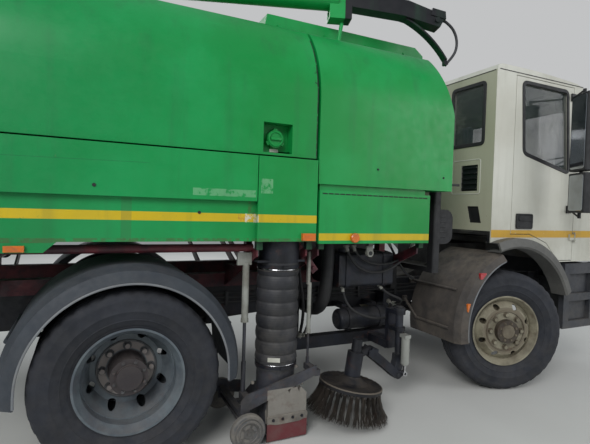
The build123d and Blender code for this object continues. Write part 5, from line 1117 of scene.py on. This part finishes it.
new_piece("hydraulic_lines", hoses, "chassis", "black_plastic")
add_rod(fittings, at(1.585, -1.120, 1.190), at(1.585, -1.090, 1.190), 0.026, 24)
add_block(fittings, at(1.560, -1.115, 1.185), at(1.610, -1.095, 1.240), bevel=0.003)
new_piece("hose_fittings", fittings, "chassis", "cylinder_grey")

# Air intake: ribs across its side; steps: tread bars; module: bolts; then a rusty stay

INTAKE_REAR, INTAKE_FRONT = 2.290, 2.466
ribs = bmesh.new()
for z in (1.300, 1.340, 1.380, 1.420, 1.460):
    add_block(ribs, at(INTAKE_REAR, -1.004, z - 0.006), at(INTAKE_FRONT - 0.075, -0.998, z + 0.006),
              bevel=0.002)
new_piece("intake_ribs", ribs, "chassis", "black_plastic")

treads = bmesh.new()
for side in (-1, 1):
    for z in (0.500, 0.760):
        for y in (0.880, 0.922, 0.964, 1.005):
            add_block(treads, at(3.925, side * y - 0.010, z - 0.001), at(4.235, side * y + 0.010, z + 0.005),
                      bevel=0.002)
new_piece("step_treads", treads, "chassis", "dark_steel")

module_bolts = bmesh.new()
for side in (-1, 1):
    for x, z in ((1.595, 1.778), (2.196, 1.754)):
        add_bolt(module_bolts, side_wall(x, 1.1595, z, side), 0.011)
new_piece("module_bolts", module_bolts, "chassis", "dark_steel")


stay = bmesh.new()
place = Matrix.Translation(at(1.152, -0.966, 1.150)) @ turned(52, "Y")
add_block(stay, (-0.125, -0.005, -0.026), (0.125, 0.005, 0.026), place, bevel=0.002)
outward = turned(90, "X")
for x in (-0.09, 0.09):
    add_bolt(stay, place @ Matrix.Translation((x, -0.005, 0)) @ outward, 0.022)
new_piece("rusty_stay", stay, "chassis", "red_oxide")


# Seats: cushions and backs swollen by simulated cloth, then the sewn channels

SEAT_VOXEL = 0.014
SEAT_SWELL = 0.024
SEAT_Y = 0.480


def seat_forms():
    """One seat's cushion and back, a little smaller than their solids, for the seat at y 0."""
    bm = bmesh.new()
    add_block(bm, at(CAB_REAR + 0.212, -0.226, 1.5605), at(CAB_REAR + 0.655, 0.226, 1.672), bevel=0.018)
    lean = turned(-6.4, "Y")
    add_block(bm, (-0.044, -0.216, -0.310), (0.044, 0.216, 0.310),
              Matrix.Translation(at(CAB_REAR + 0.1425, 0, 2.010)) @ lean, bevel=0.024)
    return bm


def swollen_seat():
    mesh = bpy.data.meshes.new("seat_form")
    bm = seat_forms()
    bm.to_mesh(mesh)
    bm.free()
    holder = new_object("seat_form", mesh)
    remesh = holder.modifiers.new("remesh", "REMESH")
    remesh.mode = "VOXEL"
    remesh.voxel_size = SEAT_VOXEL
    even = bpy.data.meshes.new_from_object(evaluated(holder))
    holder.modifiers.clear()
    holder.data = even
    cloth = holder.modifiers.new("cloth", "CLOTH")
    cloth.settings.use_pressure = True
    cloth.settings.uniform_pressure_force = 4
    cloth.settings.effector_weights.gravity = 0
    for number in range(1, 21):
        bpy.context.scene.frame_set(number)
    puffed = evaluated(holder).to_mesh()
    moved = [vert.co.copy() for vert in puffed.vertices]
    holder.modifiers.clear()
    for vert, target in zip(even.vertices, moved):
        step = target - vert.co
        if step.length > SEAT_SWELL:
            step *= SEAT_SWELL / step.length
        vert.co += step
        vert.co.z = max(vert.co.z, 1.5605)
    bpy.context.scene.frame_set(1)
    divide = holder.modifiers.new("divide", "SUBSURF")
    divide.levels = 1
    fine = bpy.data.meshes.new_from_object(evaluated(holder))
    bpy.data.objects.remove(holder)
    return fine


def sew(mesh):
    """Presses stitched channels into the cushion's top and the back's front."""
    for vert in mesh.vertices:
        x = vert.co.x - row_x(CAB_REAR)
        if vert.normal.z > 0.6 and vert.co.z < 1.76:
            nearest = min(abs(abs(vert.co.y) - 0.145), abs(x - 0.33), abs(x - 0.45))
            vert.co.z -= 0.009 * math.exp(-(nearest / 0.008) ** 2)
        elif vert.normal.x > 0.6 and vert.co.z > 1.74:
            nearest = min(abs(abs(vert.co.y) - 0.135), abs(vert.co.z - 1.93), abs(vert.co.z - 2.12))
            vert.co.x -= 0.009 * math.exp(-(nearest / 0.008) ** 2)


seat_mesh = swollen_seat()
sew(seat_mesh)
pads = bmesh.new()
for side in (-1, 1):
    start = len(pads.verts)
    pads.from_mesh(seat_mesh)
    pads.verts.ensure_lookup_table()
    bmesh.ops.translate(pads, vec=(0, side * SEAT_Y, 0), verts=pads.verts[start:])
seat_pads = new_piece("seat_pads", pads, "cab", "seat_fabric")
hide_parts("seats")


# Mudguards: pale edging along the outer lips

def arc(x, z, radius, y, first, last, count=28):
    """Points about a wheel-wide arc, 0 pointing forward, 90 up."""
    turns = [math.radians(first + (last - first) * k / (count - 1)) for k in range(count)]
    return [at(x + radius * math.cos(turn), y, z + radius * math.sin(turn)) for turn in turns]


edging = bmesh.new()
for side in (-1, 1):
    add_pipe(edging, arc(0, AXLE_Z, 0.5505, side * 1.188, -5, 185), 0.0065, 8, 3)
    add_pipe(edging, arc(WHEELBASE + 0.020, AXLE_Z + 0.045, 0.5775, side * 1.135, 108, 189), 0.0055, 8, 3)
new_piece("guard_edging", edging, "chassis", "guard_plastic",
          moulded("767a7e 5c6066 78726a", rough=0.6)("edging"))


# Floor, light and camera


def studio():
    bpy.ops.mesh.primitive_plane_add(size=120, location=(0, 0, -0.0005))
    floor = bpy.context.object
    floor.name = "studio_floor"
    f = Finish("studio_floor", srgb("c8c8c4"))
    f.tint(srgb("cdcdc9"), f.cloud(0.3, 0.7, 0.6, 6))
    f.bump((f.noise(40, 6), 0.08, 0.002))
    floor.data.materials.append(f.finish(0.7))
    world = bpy.context.scene.world or bpy.data.worlds.new("studio")
    bpy.context.scene.world = world
    world.use_nodes = True
    tree = world.node_tree
    background = tree.nodes["Background"]
    path = tree.nodes.new("ShaderNodeLightPath")
    mix = tree.nodes.new("ShaderNodeMix")
    mix.data_type = "RGBA"
    tree.links.new(path.outputs["Is Camera Ray"], mix.inputs["Factor"])
    mix.inputs[6].default_value = (0.62, 0.66, 0.70, 1)
    mix.inputs[7].default_value = (0.86, 0.87, 0.88, 1)
    tree.links.new(mix.outputs[2], background.inputs["Color"])
    background.inputs["Strength"].default_value = 0.62
    for name, place, aim, energy, size in (
            ("key", (-6.5, -8.0, 7.5), (0, 0, 1.2), 720, 5.0),
            ("fill", (7.0, -7.0, 4.0), (1.5, 0, 1.2), 190, 5.0),
            ("back", (0.0, 9.0, 7.0), (0, 0, 1.5), 300, 7.0)):
        data = bpy.data.lights.new(name, "AREA")
        data.energy = energy
        data.size = size
        lamp = new_object(name, data)
        lamp.location = place
        lamp.rotation_euler = (Vector(aim) - Vector(place)).to_track_quat("-Z", "Y").to_euler()


def photo_camera():
    data = bpy.data.cameras.new("photo_camera")
    data.sensor_width = 36
    data.lens = 26.985
    camera = new_object("photo_camera", data)
    right = Vector((0.90307, -0.42844, 0.02995))
    up = Vector((-0.01551, 0.03716, 0.99919))
    back = Vector((-0.42921, -0.90281, 0.02691))
    turn = Matrix((right, up, back)).transposed().to_4x4()
    camera.matrix_world = Matrix.Translation((-1.595, -3.703, 1.479)) @ turn
    bpy.context.scene.camera = camera


studio()
photo_camera()
bpy.context.scene.view_settings.view_transform = "Standard"
